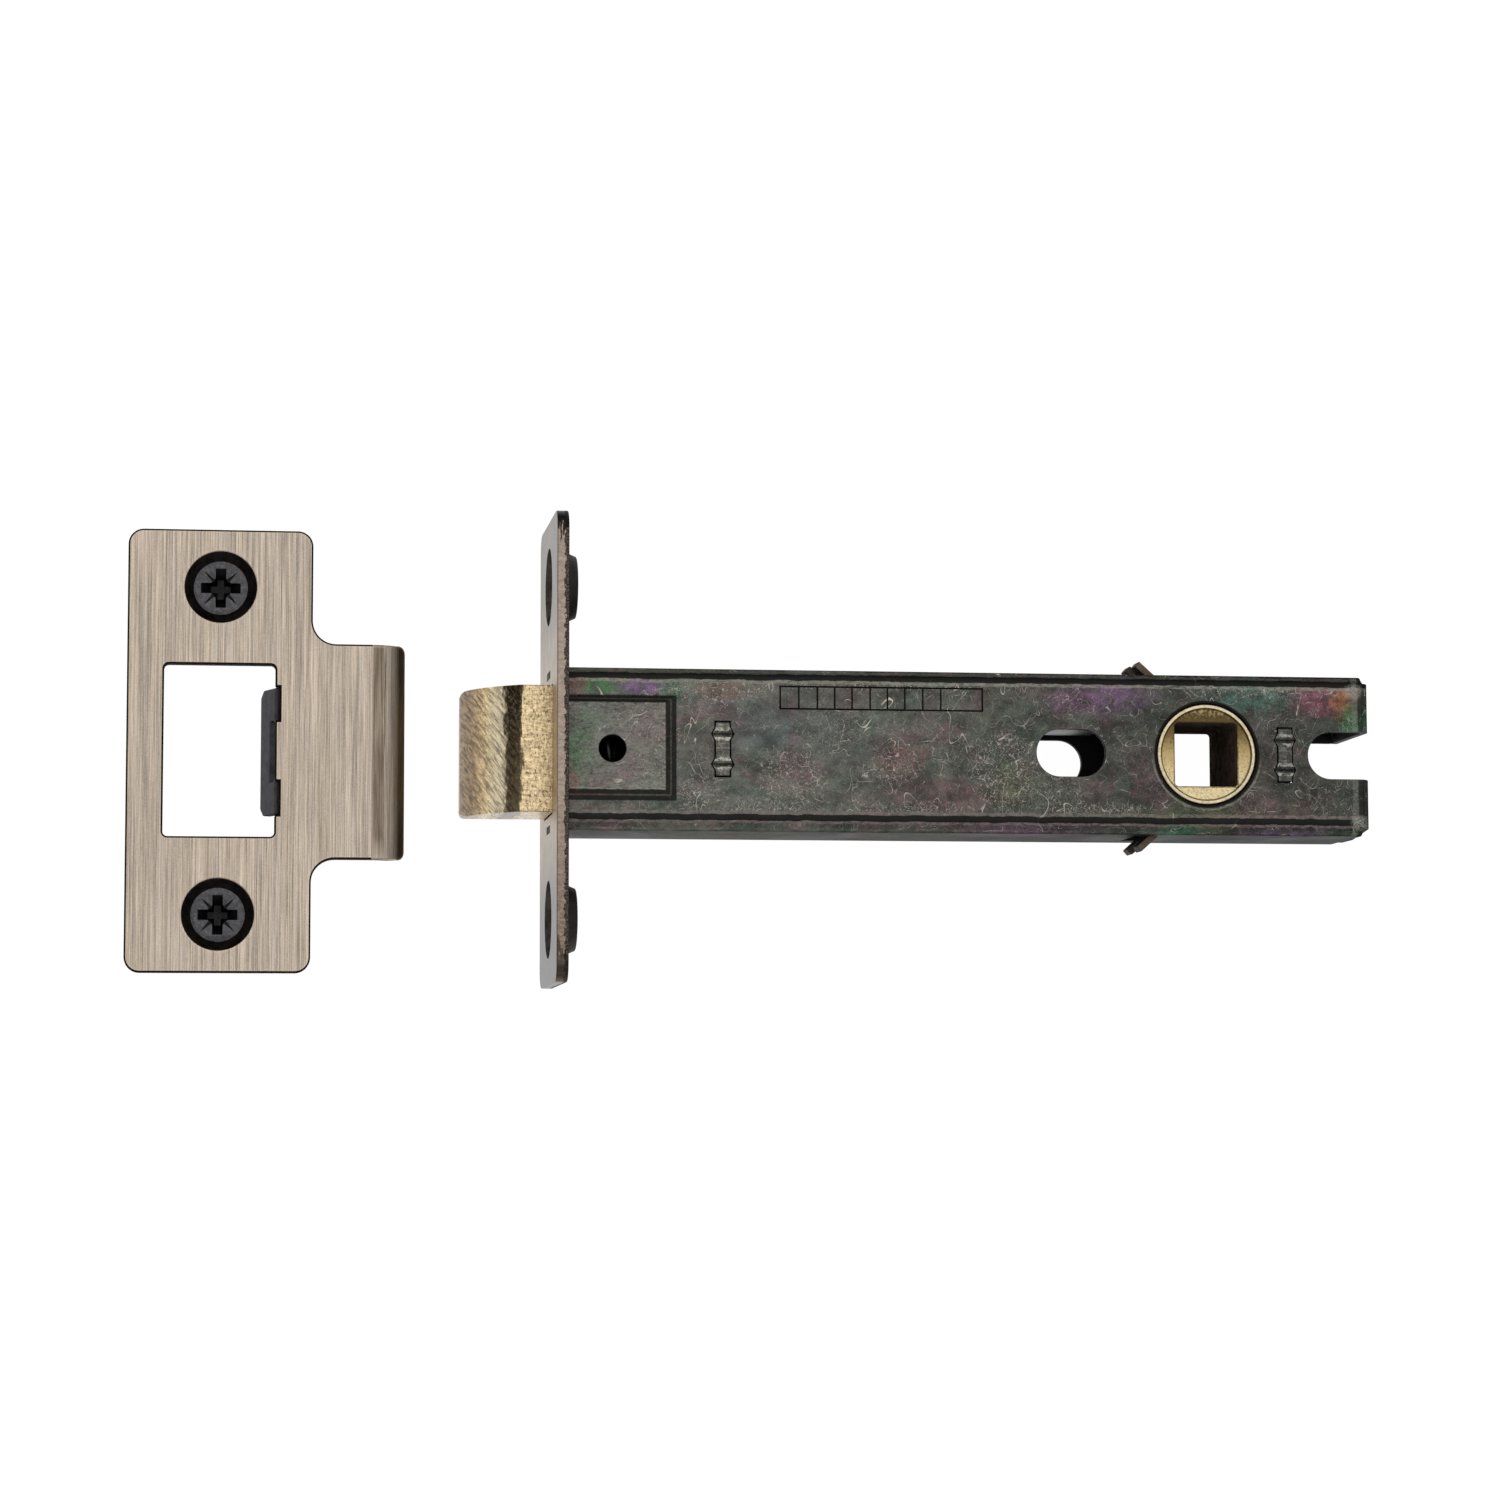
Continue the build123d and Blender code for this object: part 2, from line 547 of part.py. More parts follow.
def strike_plate():
    """The plate with its opening, countersinks, curved lip and the adjusting tang."""
    top = 0.0
    low = -strike_thickness
    edge = strike_width / 2
    plate = block(-edge, edge, -strike_height / 2, strike_height / 2, low, top)
    plate = fillet(plate.edges().filter_by(Axis.Z), strike_corner)
    lip_end = edge + lip_flat
    lip = block(edge - strike_corner, lip_end, -lip_height / 2, lip_height / 2, low, top)
    plate += lip
    roots = plate.edges().filter_by(Axis.Z).filter_by(
        lambda e: abs(e.center().X - edge) < 0.01 and abs(abs(e.center().Y) - lip_height / 2) < 0.01
    )
    plate = fillet(roots, lip_root_radius)
    bend = math.radians(lip_bend_angle)
    half_bend = bend / 2
    centre_z = top - lip_bend_radius
    inner = lip_bend_radius - strike_thickness

    def on_arc(radius, angle):
        return (lip_end + radius * math.sin(angle), centre_z + radius * math.cos(angle), 0)

    outer_arc = ThreePointArc(
        on_arc(lip_bend_radius, 0), on_arc(lip_bend_radius, half_bend), on_arc(lip_bend_radius, bend)
    )
    inner_arc = ThreePointArc(on_arc(inner, 0), on_arc(inner, half_bend), on_arc(inner, bend))
    ends = [
        Line(on_arc(lip_bend_radius, bend), on_arc(inner, bend)),
        Line(on_arc(inner, 0), on_arc(lip_bend_radius, 0)),
    ]
    curl_face = make_face(outer_arc + inner_arc + ends[0] + ends[1])
    curl = Rot(90, 0, 0) * extrude(curl_face, lip_height / 2, both=True)
    corners = curl.edges().filter_by(
        lambda e: e.length < strike_thickness + 0.01 and e.center().X > lip_end + 1
    )
    plate += fillet(corners, lip_corner)
    opening = RectangleRounded(strike_opening_width, strike_opening_height, strike_opening_corner)
    plate -= Pos(0, 0, low - 1) * extrude(opening, strike_thickness + 2)
    # The tang leaves the opening's edge on the lip side, between two relief cuts, and leans back
    root_x = strike_opening_width / 2
    for side in (1, -1):
        near, far = sorted((side * tang_root_height / 2, side * tang_relief_half_height))
        plate -= block(root_x - 1, root_x + tang_relief_depth, near, far, low - 1, top + 1)
    lean = math.radians(tang_angle)
    down = (-math.cos(lean), -math.sin(lean))
    back = (-down[1], down[0])
    start = (root_x, top - 0.3)

    def along(distance, depth):
        return (
            start[0] + distance * down[0] + depth * back[0],
            start[1] + distance * down[1] + depth * back[1], 0,
        )

    head = make_face(Polyline([
        along(0, 0), along(tang_length, 0), along(tang_length, tang_thickness),
        along(0.3, tang_thickness),
    ], close=True))
    head = Rot(90, 0, 0) * extrude(head, tang_height / 2, both=True)
    head_corners = head.edges().filter_by(
        lambda e: abs(e.length - tang_thickness) < 0.01 and e.center().Z < low
    )
    head = chamfer(head_corners, tang_corner)
    groove = make_face(Polyline([
        along(-1, -1), along(tang_fold_width, -1), along(tang_fold_width, tang_fold_groove),
        along(-1, tang_fold_groove),
    ], close=True))
    groove = Rot(90, 0, 0) * extrude(groove, tang_root_height / 2, both=True)
    root = make_face(Polyline([
        (root_x + 1, top - 0.3, 0), along(0, tang_fold_groove),
        along(tang_fold_width + 0.5, tang_fold_groove), along(tang_fold_width + 0.5, tang_thickness),
        (root_x + 1, low + 0.1, 0),
    ], close=True))
    root = Rot(90, 0, 0) * extrude(root, tang_root_height / 2, both=True)
    plate += (head - groove) + root
    for side in (1, -1):
        y = side * strike_screw_spacing / 2
        mouth = turned_z([
            (0, top + 1), (strike_countersink_radius + 1, top + 1),
            (strike_countersink_radius - strike_thickness - 1, low - 1), (0, low - 1),
        ])
        plate -= Pos(0, y, 0) * mouth
    return Pos(strike_centre_x, strike_centre_y, strike_face_z) * plate


def strike_screw():
    """A countersunk wood screw along -Z, its head's top at the origin, with a cross recess."""
    head = screw_head_radius - screw_seat_clearance
    neck_z = -(head - screw_radius)
    tip_start = -screw_length + screw_tip_length
    screw = turned_z([
        (0, 0), (head, 0), (screw_radius, neck_z), (screw_radius, tip_start),
        (screw_tip_radius, -screw_length), (0, -screw_length),
    ])
    floor_level = Pos(0, 0, -recess_depth)
    floor = floor_level * Rectangle(recess_arm_width * 0.7, recess_arm_half_length)
    arm = loft([floor, Rectangle(recess_arm_width, 2 * recess_arm_half_length)])
    core_corner = recess_core_half / math.cos(math.radians(22.5))
    core = loft([
        floor_level * RegularPolygon(core_corner * 0.45, 8, rotation=22.5),
        RegularPolygon(core_corner, 8, rotation=22.5),
    ])
    screw = screw - arm - Rot(0, 0, 90) * arm - core
    near = recess_core_half * 0.6
    tick = make_face(Polyline([
        (near - recess_tick_half_width, near + recess_tick_half_width, 0),
        (near + recess_tick_half_width, near - recess_tick_half_width, 0),
        (recess_tick_reach, recess_tick_reach, 0),
    ], close=True))
    tick = extrude(tick, recess_tick_depth, dir=(0, 0, -1))
    for turn in range(4):
        screw -= Rot(0, 0, 90 * turn) * tick
    return screw


def strike_screws():
    """The two screws, seated in the strike plate's countersinks."""
    level = strike_face_z - strike_screw_sink
    places = [strike_centre_y + side * strike_screw_spacing / 2 for side in (1, -1)]
    return Compound([Pos(strike_centre_x, y, level) * strike_screw() for y in places])


def build():
    """Every sub-part by its node name."""
    bolt_spring = coil(-pocket_depth_ahead, front_bridge_face,
                       bolt_spring_radius, bolt_spring_wire, bolt_spring_turns)
    return_spring = coil(front_bridge_x + bridge_thickness / 2, return_slide_front_x,
                         return_spring_radius, return_spring_wire, return_spring_turns)
    return {
        "forend_plate": forend_plate(),
        "case_body": case_body(),
        "case_cover": case_cover(),
        "front_bridge": bridge(front_bridge_x, rod_radius + rod_clearance),
        "rear_bridge": bridge(rear_bridge_x, 0),
        "latch_bolt": latch_bolt(),
        "draw_bar_upper": draw_bar(1),
        "draw_bar_lower": draw_bar(-1),
        "bolt_spring": bolt_spring,
        "follower": follower(),
        "return_slide": return_slide(),
        "return_rod": return_rod(),
        "return_spring": return_spring,
        "strike_plate": strike_plate(),
        "strike_screws": strike_screws(),
    }


os.makedirs("parts", exist_ok=True)
for name, shape in build().items():
    export_step(shape, "parts/" + name + ".step")
print("bolt stroke", round(bolt_stroke, 3), "per radian", round(bolt_stroke / (2 * half_swing), 4))
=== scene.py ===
import math

import bmesh
import bpy
from mathutils import Matrix, Vector


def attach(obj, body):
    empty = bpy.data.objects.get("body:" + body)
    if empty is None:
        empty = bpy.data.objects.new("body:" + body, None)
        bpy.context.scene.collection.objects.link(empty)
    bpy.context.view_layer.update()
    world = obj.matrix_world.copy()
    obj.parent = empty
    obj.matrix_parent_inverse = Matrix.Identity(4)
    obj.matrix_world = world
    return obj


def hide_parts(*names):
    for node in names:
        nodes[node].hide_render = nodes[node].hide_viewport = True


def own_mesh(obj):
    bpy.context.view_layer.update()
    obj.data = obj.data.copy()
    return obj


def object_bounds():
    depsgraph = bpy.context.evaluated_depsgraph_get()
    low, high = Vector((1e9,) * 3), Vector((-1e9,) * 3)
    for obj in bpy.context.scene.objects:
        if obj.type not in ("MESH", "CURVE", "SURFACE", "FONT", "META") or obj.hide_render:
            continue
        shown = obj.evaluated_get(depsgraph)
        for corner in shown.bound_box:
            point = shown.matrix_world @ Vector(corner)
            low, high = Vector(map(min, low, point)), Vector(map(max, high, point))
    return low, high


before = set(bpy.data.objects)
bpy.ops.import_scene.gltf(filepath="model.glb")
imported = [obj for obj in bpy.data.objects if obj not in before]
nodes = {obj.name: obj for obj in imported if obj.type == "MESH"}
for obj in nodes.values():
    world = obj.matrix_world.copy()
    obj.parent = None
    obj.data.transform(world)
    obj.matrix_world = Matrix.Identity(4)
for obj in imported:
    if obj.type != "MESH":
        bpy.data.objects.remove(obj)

cad_box = [list(corner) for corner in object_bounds()]
MM = 0.001

# Camera: above the latch, a little to the strike's side and below it, as the photograph was taken
turn = (
    Matrix.Rotation(0.0023, 4, "Z")
    @ Matrix.Rotation(-0.0969, 4, "X")
    @ Matrix.Rotation(0.1354, 4, "Y")
)
camera_data = bpy.data.cameras.new("camera")
camera_data.sensor_fit = "HORIZONTAL"
camera_data.sensor_width = 36.0
camera_data.lens = 4079.6 / 1500 * 36.0
camera_data.clip_start = 0.01
camera_data.clip_end = 20.0
camera = bpy.data.objects.new("camera", camera_data)
bpy.context.collection.objects.link(camera)
camera.matrix_world = Matrix.Translation(Vector((-43.83, -49.35, 509.69)) * MM) @ turn.inverted()
bpy.context.scene.camera = camera

scene = bpy.context.scene
scene.view_settings.view_transform = "Standard"


def link(piece):
    bpy.context.collection.objects.link(piece)
    return piece


def panel_light(name, place, target, width, height, radiance):
    """A soft panel that faces a point. Its brightness is given as the light that a mirror would show."""
    data = bpy.data.lights.new(name, "AREA")
    data.shape = "RECTANGLE"
    data.size = width
    data.size_y = height
    data.energy = 4 * radiance * width * height
    light = link(bpy.data.objects.new(name, data))
    light.location = place
    aim = Vector(place) - Vector(target)
    light.rotation_euler = aim.to_track_quat("Z", "Y").to_euler()
    return light


panel_light("key_panel", (0.05, 0.30, 0.95), (0.02, 0.0, 0.0), 1.5, 1.15, 0.52)
panel_light("front_panel", (0.05, -1.1, 0.42), (0.02, 0.0, 0.0), 1.3, 0.50, 0.30)

# World: a pale room above, with a dark band over the horizon
world = bpy.data.worlds.new("studio")
world.use_nodes = True
scene.world = world
wt = world.node_tree
wt.nodes.clear()
w_out = wt.nodes.new("ShaderNodeOutputWorld")
w_background = wt.nodes.new("ShaderNodeBackground")
w_coord = wt.nodes.new("ShaderNodeTexCoord")
w_split = wt.nodes.new("ShaderNodeSeparateXYZ")
w_ramp = wt.nodes.new("ShaderNodeValToRGB")
wt.links.new(w_coord.outputs["Generated"], w_split.inputs[0])
wt.links.new(w_split.outputs["Z"], w_ramp.inputs[0])
wt.links.new(w_ramp.outputs["Color"], w_background.inputs["Color"])
wt.links.new(w_background.outputs[0], w_out.inputs["Surface"])
w_ramp.color_ramp.interpolation = "EASE"
w_stops = w_ramp.color_ramp.elements
w_stops[0].position = 0.0
w_stops[0].color = (0.035, 0.035, 0.037, 1)
w_stops[1].position = 0.50
w_stops[1].color = (0.49, 0.49, 0.50, 1)
for w_place, w_level in ((0.17, 0.05), (0.26, 0.44)):
    w_stop = w_stops.new(w_place)
    w_stop.color = (w_level, w_level, w_level, 1)


# Places of the part that the materials and the dressed pieces share, in millimetres
SPINDLE_X = 83.0
SQUARE_REACH = 4.3
PANEL_X = 15.5
SIGHT_X = 7.4
FOREND_SCREW_Y = 21.0
STRIKE_X = -41.1
STRIKE_Y = -0.6
STRIKE_Z = 5.475
# The row of blank stamped cells on the near face
CELLS_X = (28.4, 54.1)
CELLS_Y = (5.15, 7.95)
CELL_LINES = (28.4, 30.75, 33.1, 35.3, 37.5, 39.8, 42.0, 44.2, 46.5, 48.8, 54.1)

SOCKETS = {
    "anisotropic": "Anisotropic",
    "specular_ior_level": "Specular IOR Level",
    "specular_tint": "Specular Tint",
}


class Paint:
    """One material, with short calls for its nodes. Places are in millimetres in the part's frame."""

    def __init__(self, name):
        self.material = bpy.data.materials.new(name)
        self.material.use_nodes = True
        self.tree = self.material.node_tree
        self.tree.nodes.clear()
        coord = self.add("ShaderNodeTexCoord")
        self.place = self.vector("SCALE", coord.outputs["Object"], scale=1000.0)
        split = self.add("ShaderNodeSeparateXYZ")
        self.join(split.inputs[0], self.place)
        self.x, self.y, self.z = split.outputs[0], split.outputs[1], split.outputs[2]

    def add(self, kind, **settings):
        node = self.tree.nodes.new(kind)
        for key, value in settings.items():
            setattr(node, key, value)
        return node

    def join(self, socket, value):
        if isinstance(value, bpy.types.NodeSocket):
            self.tree.links.new(value, socket)
        elif isinstance(value, tuple) and socket.type == "RGBA":
            socket.default_value = (*value[:3], 1.0)
        else:
            socket.default_value = value

    def vector(self, operation, a, b=None, scale=None):
        node = self.add("ShaderNodeVectorMath", operation=operation)
        self.join(node.inputs[0], a)
        if b is not None:
            self.join(node.inputs[1], b)
        if scale is not None:
            self.join(node.inputs["Scale"], scale)
        return node.outputs[0]

    def stretched(self, sx, sy, sz, offset=(0.0, 0.0, 0.0)):
        moved = self.vector("ADD", self.place, offset)
        return self.vector("MULTIPLY", moved, (sx, sy, sz))

    def turned(self, degrees):
        """The place turned about Z."""
        node = self.add("ShaderNodeVectorRotate", rotation_type="Z_AXIS")
        self.join(node.inputs["Vector"], self.place)
        node.inputs["Angle"].default_value = math.radians(degrees)
        return node.outputs[0]

    def noise(self, vector, scale=1.0, detail=3.0, rough=0.5, distortion=0.0):
        node = self.add("ShaderNodeTexNoise")
        self.join(node.inputs["Vector"], vector)
        node.inputs["Scale"].default_value = scale
        node.inputs["Detail"].default_value = detail
        node.inputs["Roughness"].default_value = rough
        node.inputs["Distortion"].default_value = distortion
        return node.outputs[0]

    def cells(self, vector, scale):
        """How far a point is from the edges of a field of cells."""
        node = self.add("ShaderNodeTexVoronoi", feature="DISTANCE_TO_EDGE")
        self.join(node.inputs["Vector"], vector)
        node.inputs["Scale"].default_value = scale
        return node.outputs["Distance"]

    def math(self, operation, a, b=0.0):
        node = self.add("ShaderNodeMath", operation=operation)
        self.join(node.inputs[0], a)
        self.join(node.inputs[1], b)
        return node.outputs[0]

    def step(self, value, low, high, start=0.0, end=1.0):
        """A soft step from start to end, while the value goes from low to high."""
        node = self.add("ShaderNodeMapRange", interpolation_type="SMOOTHSTEP")
        self.join(node.inputs["Value"], value)
        node.inputs["From Min"].default_value = low
        node.inputs["From Max"].default_value = high
        node.inputs["To Min"].default_value = start
        node.inputs["To Max"].default_value = end
        return node.outputs[0]

    def band(self, value, low, high, soft):
        """1 between low and high, falling to 0 over soft on both sides."""
        rise = self.step(value, low - soft, low)
        fall = self.step(value, high, high + soft, 1.0, 0.0)
        return self.math("MULTIPLY", rise, fall)

    def spot(self, x, y, size_x, size_y):
        """A soft round patch on the near face."""
        dx = self.math("DIVIDE", self.math("SUBTRACT", self.x, x), size_x)
        dy = self.math("DIVIDE", self.math("SUBTRACT", self.y, y), size_y)
        far = self.math("ADD", self.math("MULTIPLY", dx, dx), self.math("MULTIPLY", dy, dy))
        return self.step(far, 0.0, 1.0, 1.0, 0.0)

    def far(self, x, y):
        """How far a point of the surface is from an axis along Z."""
        dx = self.math("SUBTRACT", self.x, x)
        dy = self.math("SUBTRACT", self.y, y)
        square = self.math("ADD", self.math("MULTIPLY", dx, dx), self.math("MULTIPLY", dy, dy))
        return self.math("SQRT", square)

    def noise_color(self, vector, scale):
        node = self.add("ShaderNodeTexNoise")
        self.join(node.inputs["Vector"], vector)
        node.inputs["Scale"].default_value = scale
        node.inputs["Detail"].default_value = 2.0
        return node.outputs["Color"]

    def near_edge(self, radius):
        """0 on flat ground, rising to about 0.3 on an edge, from a radius in millimetres."""
        rounded = self.add("ShaderNodeBevel", samples=6)
        rounded.inputs["Radius"].default_value = radius * MM
        coord = self.add("ShaderNodeTexCoord")
        same = self.add("ShaderNodeVectorMath", operation="DOT_PRODUCT")
        self.join(same.inputs[0], rounded.outputs[0])
        self.join(same.inputs[1], coord.outputs["Normal"])
        return self.math("SUBTRACT", 1.0, same.outputs["Value"])

    def most(self, *values):
        result = values[0]
        for value in values[1:]:
            result = self.math("MAXIMUM", result, value)
        return result

    def times(self, *values):
        result = values[0]
        for value in values[1:]:
            result = self.math("MULTIPLY", result, value)
        return result

    def ramp(self, value, *stops):
        node = self.add("ShaderNodeValToRGB")
        self.join(node.inputs[0], value)
        elements = node.color_ramp.elements
        while len(elements) < len(stops):
            elements.new(0.5)
        for element, (position, color) in zip(elements, stops):
            element.position = position
            element.color = (*color, 1.0)
        return node.outputs["Color"]

    def mix(self, factor, a, b):
        node = self.add("ShaderNodeMix", data_type="RGBA")
        self.join(node.inputs[0], factor)
        self.join(node.inputs[6], a)
        self.join(node.inputs[7], b)
        return node.outputs[2]

    def shade(self, color, value):
        """A colour made brighter or darker by a number."""
        node = self.add("ShaderNodeVectorMath", operation="SCALE")
        self.join(node.inputs[0], color)
        self.join(node.inputs["Scale"], value)
        return node.outputs[0]

    def bump(self, height, depth):
        """Relief from a height of 0 to 1, with its depth in millimetres."""
        node = self.add("ShaderNodeBump")
        node.inputs["Strength"].default_value = 1.0
        node.inputs["Distance"].default_value = depth * MM
        self.join(node.inputs["Height"], height)
        return node.outputs[0]

    def done(self, color, roughness, normal, metallic=1.0, **more):
        """The shader, with its output. The settings in more are the same all over the surface."""
        shader = self.add("ShaderNodeBsdfPrincipled")
        self.join(shader.inputs["Base Color"], color)
        self.join(shader.inputs["Roughness"], roughness)
        self.join(shader.inputs["Metallic"], metallic)
        self.join(shader.inputs["Normal"], normal)
        for key, value in more.items():
            shader.inputs[SOCKETS[key]].default_value = value
        out = self.add("ShaderNodeOutputMaterial")
        self.tree.links.new(shader.outputs[0], out.inputs["Surface"])
        return self.material


def brushed_brass(name, tint):
    """Satin antique brass, brushed along Y, with painted shade in a band over the lip's bend."""
    p = Paint(name)
    fine = p.noise(p.stretched(7.4, 0.07, 7.4), detail=4.0, rough=0.78)
    medium = p.noise(p.stretched(2.1, 0.035, 2.1, (17, 5, 0)), detail=3.0, rough=0.6)
    broad = p.noise(p.stretched(0.30, 0.02, 0.30, (40, 7, 0)), detail=2.0)
    strokes = p.step(p.noise(p.stretched(8.5, 0.05, 8.5, (11, 3, 5)), detail=2.0), 0.60, 0.74)
    dull = p.step(p.noise(p.stretched(8.0, 0.06, 8.0, (70, 31, 5)), detail=2.0), 0.58, 0.76)
    mottle = p.noise(p.place, scale=7.0, detail=2.0)
    light = p.math("ADD", p.step(fine, 0.30, 0.70, 0.56, 1.42), p.step(medium, 0.3, 0.7, -0.03, 0.03))
    light = p.math("ADD", light, p.step(broad, 0.3, 0.7, -0.04, 0.04))
    light = p.math("ADD", light, p.math("MULTIPLY", strokes, 0.20))
    light = p.math("SUBTRACT", light, p.math("MULTIPLY", dull, 0.18))
    light = p.math("ADD", light, p.step(mottle, 0.3, 0.7, -0.09, 0.09))
    warm = p.mix(p.step(medium, 0.35, 0.65), tint, tuple(c * k for c, k in zip(tint, (1.02, 0.99, 0.94))))
    color = p.shade(warm, light)
    # Painted shade: a dark band over the lip's bend, uneven along it and weaker towards low Y, and black at
    # the lip's far end
    bend_x = p.math("ADD", p.x, p.step(fine, 0.3, 0.7, -0.20, 0.20))
    uneven = p.step(p.noise(p.stretched(2.5, 0.12, 1.0, (9, 2, 0)), detail=4.0), 0.25, 0.75, 0.45, 1.0)
    fade = p.step(p.y, -13.8, -10.6, 0.25, 1.0)
    bend = p.times(p.band(bend_x, -22.15, -20.95, 0.22), uneven, fade)
    color = p.mix(bend, color, p.mix(0.90, color, (0.105, 0.076, 0.044)))
    rim = p.step(bend_x, -19.30, -18.95)
    color = p.mix(p.math("MULTIPLY", rim, 0.85), color, (0.050, 0.038, 0.030))
    # A golden line beside the edges, where the finish is rubbed through and a highlight is painted, and
    # painted shade in black on the edges
    edge = p.near_edge(0.55)
    color = p.mix(p.math("MULTIPLY", p.band(edge, 0.02, 0.07, 0.02), 0.55), color, (0.66, 0.55, 0.40))
    color = p.mix(p.math("MULTIPLY", p.step(edge, 0.06, 0.15), 0.90), color, (0.045, 0.034, 0.024))
    grain = p.noise(p.stretched(12.0, 0.2, 12.0), detail=3.0, rough=0.6)
    normal = p.bump(grain, 0.012)
    rough = p.step(fine, 0.2, 0.8, 0.44, 0.30)
    return p.done(color, rough, normal, anisotropic=0.45)


def patina(name, base=(0.030, 0.026, 0.023), rub=0.25):
    """The black oxide that is left on sheared edges and on the backs of the plates, also used as painted
    shade in the countersinks and on rounded edges.
    """
    p = Paint(name)
    patch = p.noise(p.place, scale=0.9, detail=5.0, rough=0.6)
    grit = p.noise(p.place, scale=7.0, detail=4.0, rough=0.7)
    light = p.math("ADD", p.step(patch, 0.3, 0.7, 0.6, 1.35), p.step(grit, 0.55, 0.75, 0.0, 0.9))
    lighter_mask = p.math("MULTIPLY", p.step(grit, 0.60, 0.72), rub)
    color = p.mix(lighter_mask, p.shade(base, light), (0.30, 0.25, 0.20))
    return p.done(
        color, p.step(patch, 0.3, 0.7, 0.34, 0.52), p.bump(grit, 0.03), metallic=0.9,
        specular_tint=(0.2, 0.2, 0.2, 1.0),
    )


def forend_face_brass(name):
    """The forend's front, brushed along Y and dull, darker away from the bolt."""
    p = Paint(name)
    fine = p.noise(p.stretched(3.0, 0.12, 3.0), detail=5.0, rough=0.7)
    patch = p.noise(p.place, scale=0.35, detail=4.0)
    tint = p.mix(p.step(p.math("ABSOLUTE", p.y), 9.0, 20.0), (0.370, 0.295, 0.212), (0.165, 0.140, 0.120))
    tint = p.mix(p.step(p.y, -14.0, -27.0), tint, (0.115, 0.106, 0.102))
    light = p.math("MULTIPLY", p.step(fine, 0.3, 0.7, 0.72, 1.25), p.step(patch, 0.3, 0.7, 0.85, 1.12))
    return p.done(p.shade(tint, light), 0.38, p.bump(fine, 0.02), anisotropic=0.3)


def dull_dark(name, base, sheen=0.25):
    """Painted shade on inside surfaces and in hollows: dull dark, mottled like oxide and oil."""
    p = Paint(name)
    patch = p.noise(p.place, scale=0.8, detail=5.0, rough=0.65)
    light = p.step(patch, 0.3, 0.7, 0.55, 1.5)
    return p.done(
        p.shade(base, light), 0.62, p.bump(patch, 0.05), metallic=0.0, specular_ior_level=sheen,
    )


def tang_slate(name):
    """The strike's tang: slate grey oxide, black and rough along its fold, the black being painted shadow."""
    p = Paint(name)
    patch = p.noise(p.place, scale=0.9, detail=5.0, rough=0.65)
    color = p.shade((0.046, 0.047, 0.052), p.step(patch, 0.3, 0.7, 0.65, 1.35))
    # Painted shadow: black along the fold
    ragged = p.math("ADD", p.x, p.step(patch, 0.3, 0.7, -0.15, 0.15))
    color = p.mix(p.math("MULTIPLY", p.step(ragged, -34.05, -33.75), 0.85), color, (0.010, 0.009, 0.008))
    return p.done(color, 0.55, p.bump(patch, 0.06), metallic=0.0, specular_ior_level=0.20)


def forend_edge(name):
    """The forend's punched edge: a burnished band, then the torn band towards its back, with painted dark
    reflection in black at the tips.
    """
    p = Paint(name)
    streak = p.noise(p.stretched(1.4, 3.2, 1.4), detail=5.0, rough=0.65)
    fleck = p.step(p.noise(p.place, scale=6.0, detail=3.0, rough=0.7), 0.57, 0.68)
    sheen = p.shade((0.335, 0.270, 0.218), p.step(streak, 0.3, 0.7, 0.76, 1.20))
    low_sheen = p.shade((0.235, 0.182, 0.142), p.step(streak, 0.3, 0.7, 0.66, 1.3))
    sheen = p.mix(p.step(p.y, -4.0, -20.0), sheen, low_sheen)
    sheen = p.mix(p.math("MULTIPLY", fleck, 0.35), sheen, (0.10, 0.08, 0.06))
    ragged = p.noise(p.place, scale=1.5, detail=4.0, rough=0.7)
    ragged = p.math("ADD", p.x, p.step(ragged, 0.3, 0.7, -0.20, 0.20))
    torn = p.step(ragged, 0.98, 1.08)
    crumbs = p.noise(p.place, scale=5.0, detail=5.0, rough=0.75)
    dark = p.ramp(
        crumbs, (0.38, (0.020, 0.016, 0.013)), (0.52, (0.115, 0.090, 0.072)), (0.66, (0.36, 0.30, 0.25)),
    )
    color = p.mix(torn, sheen, dark)
    near_edge = p.band(p.x, -0.05, 0.10, 0.08)
    color = p.mix(p.math("MULTIPLY", near_edge, 0.45), color, (0.085, 0.070, 0.058))
    # Painted dark reflection: black on the rounded tips
    jagged_y = p.math("ADD", p.y, p.step(p.noise(p.stretched(2.6, 0.5, 2.6), detail=3.0), 0.3, 0.7, -1.5, 1.5))
    tip = p.step(jagged_y, 26.4, 27.1)
    foot = p.math("MULTIPLY", p.step(jagged_y, -24.6, -25.4), 0.72)
    color = p.mix(p.math("MAXIMUM", tip, foot), color, (0.022, 0.018, 0.015))
    height = p.math("MULTIPLY", crumbs, torn)
    rough = p.math("ADD", p.math("MULTIPLY", torn, 0.22), 0.34)
    return p.done(color, rough, p.bump(height, 0.12))


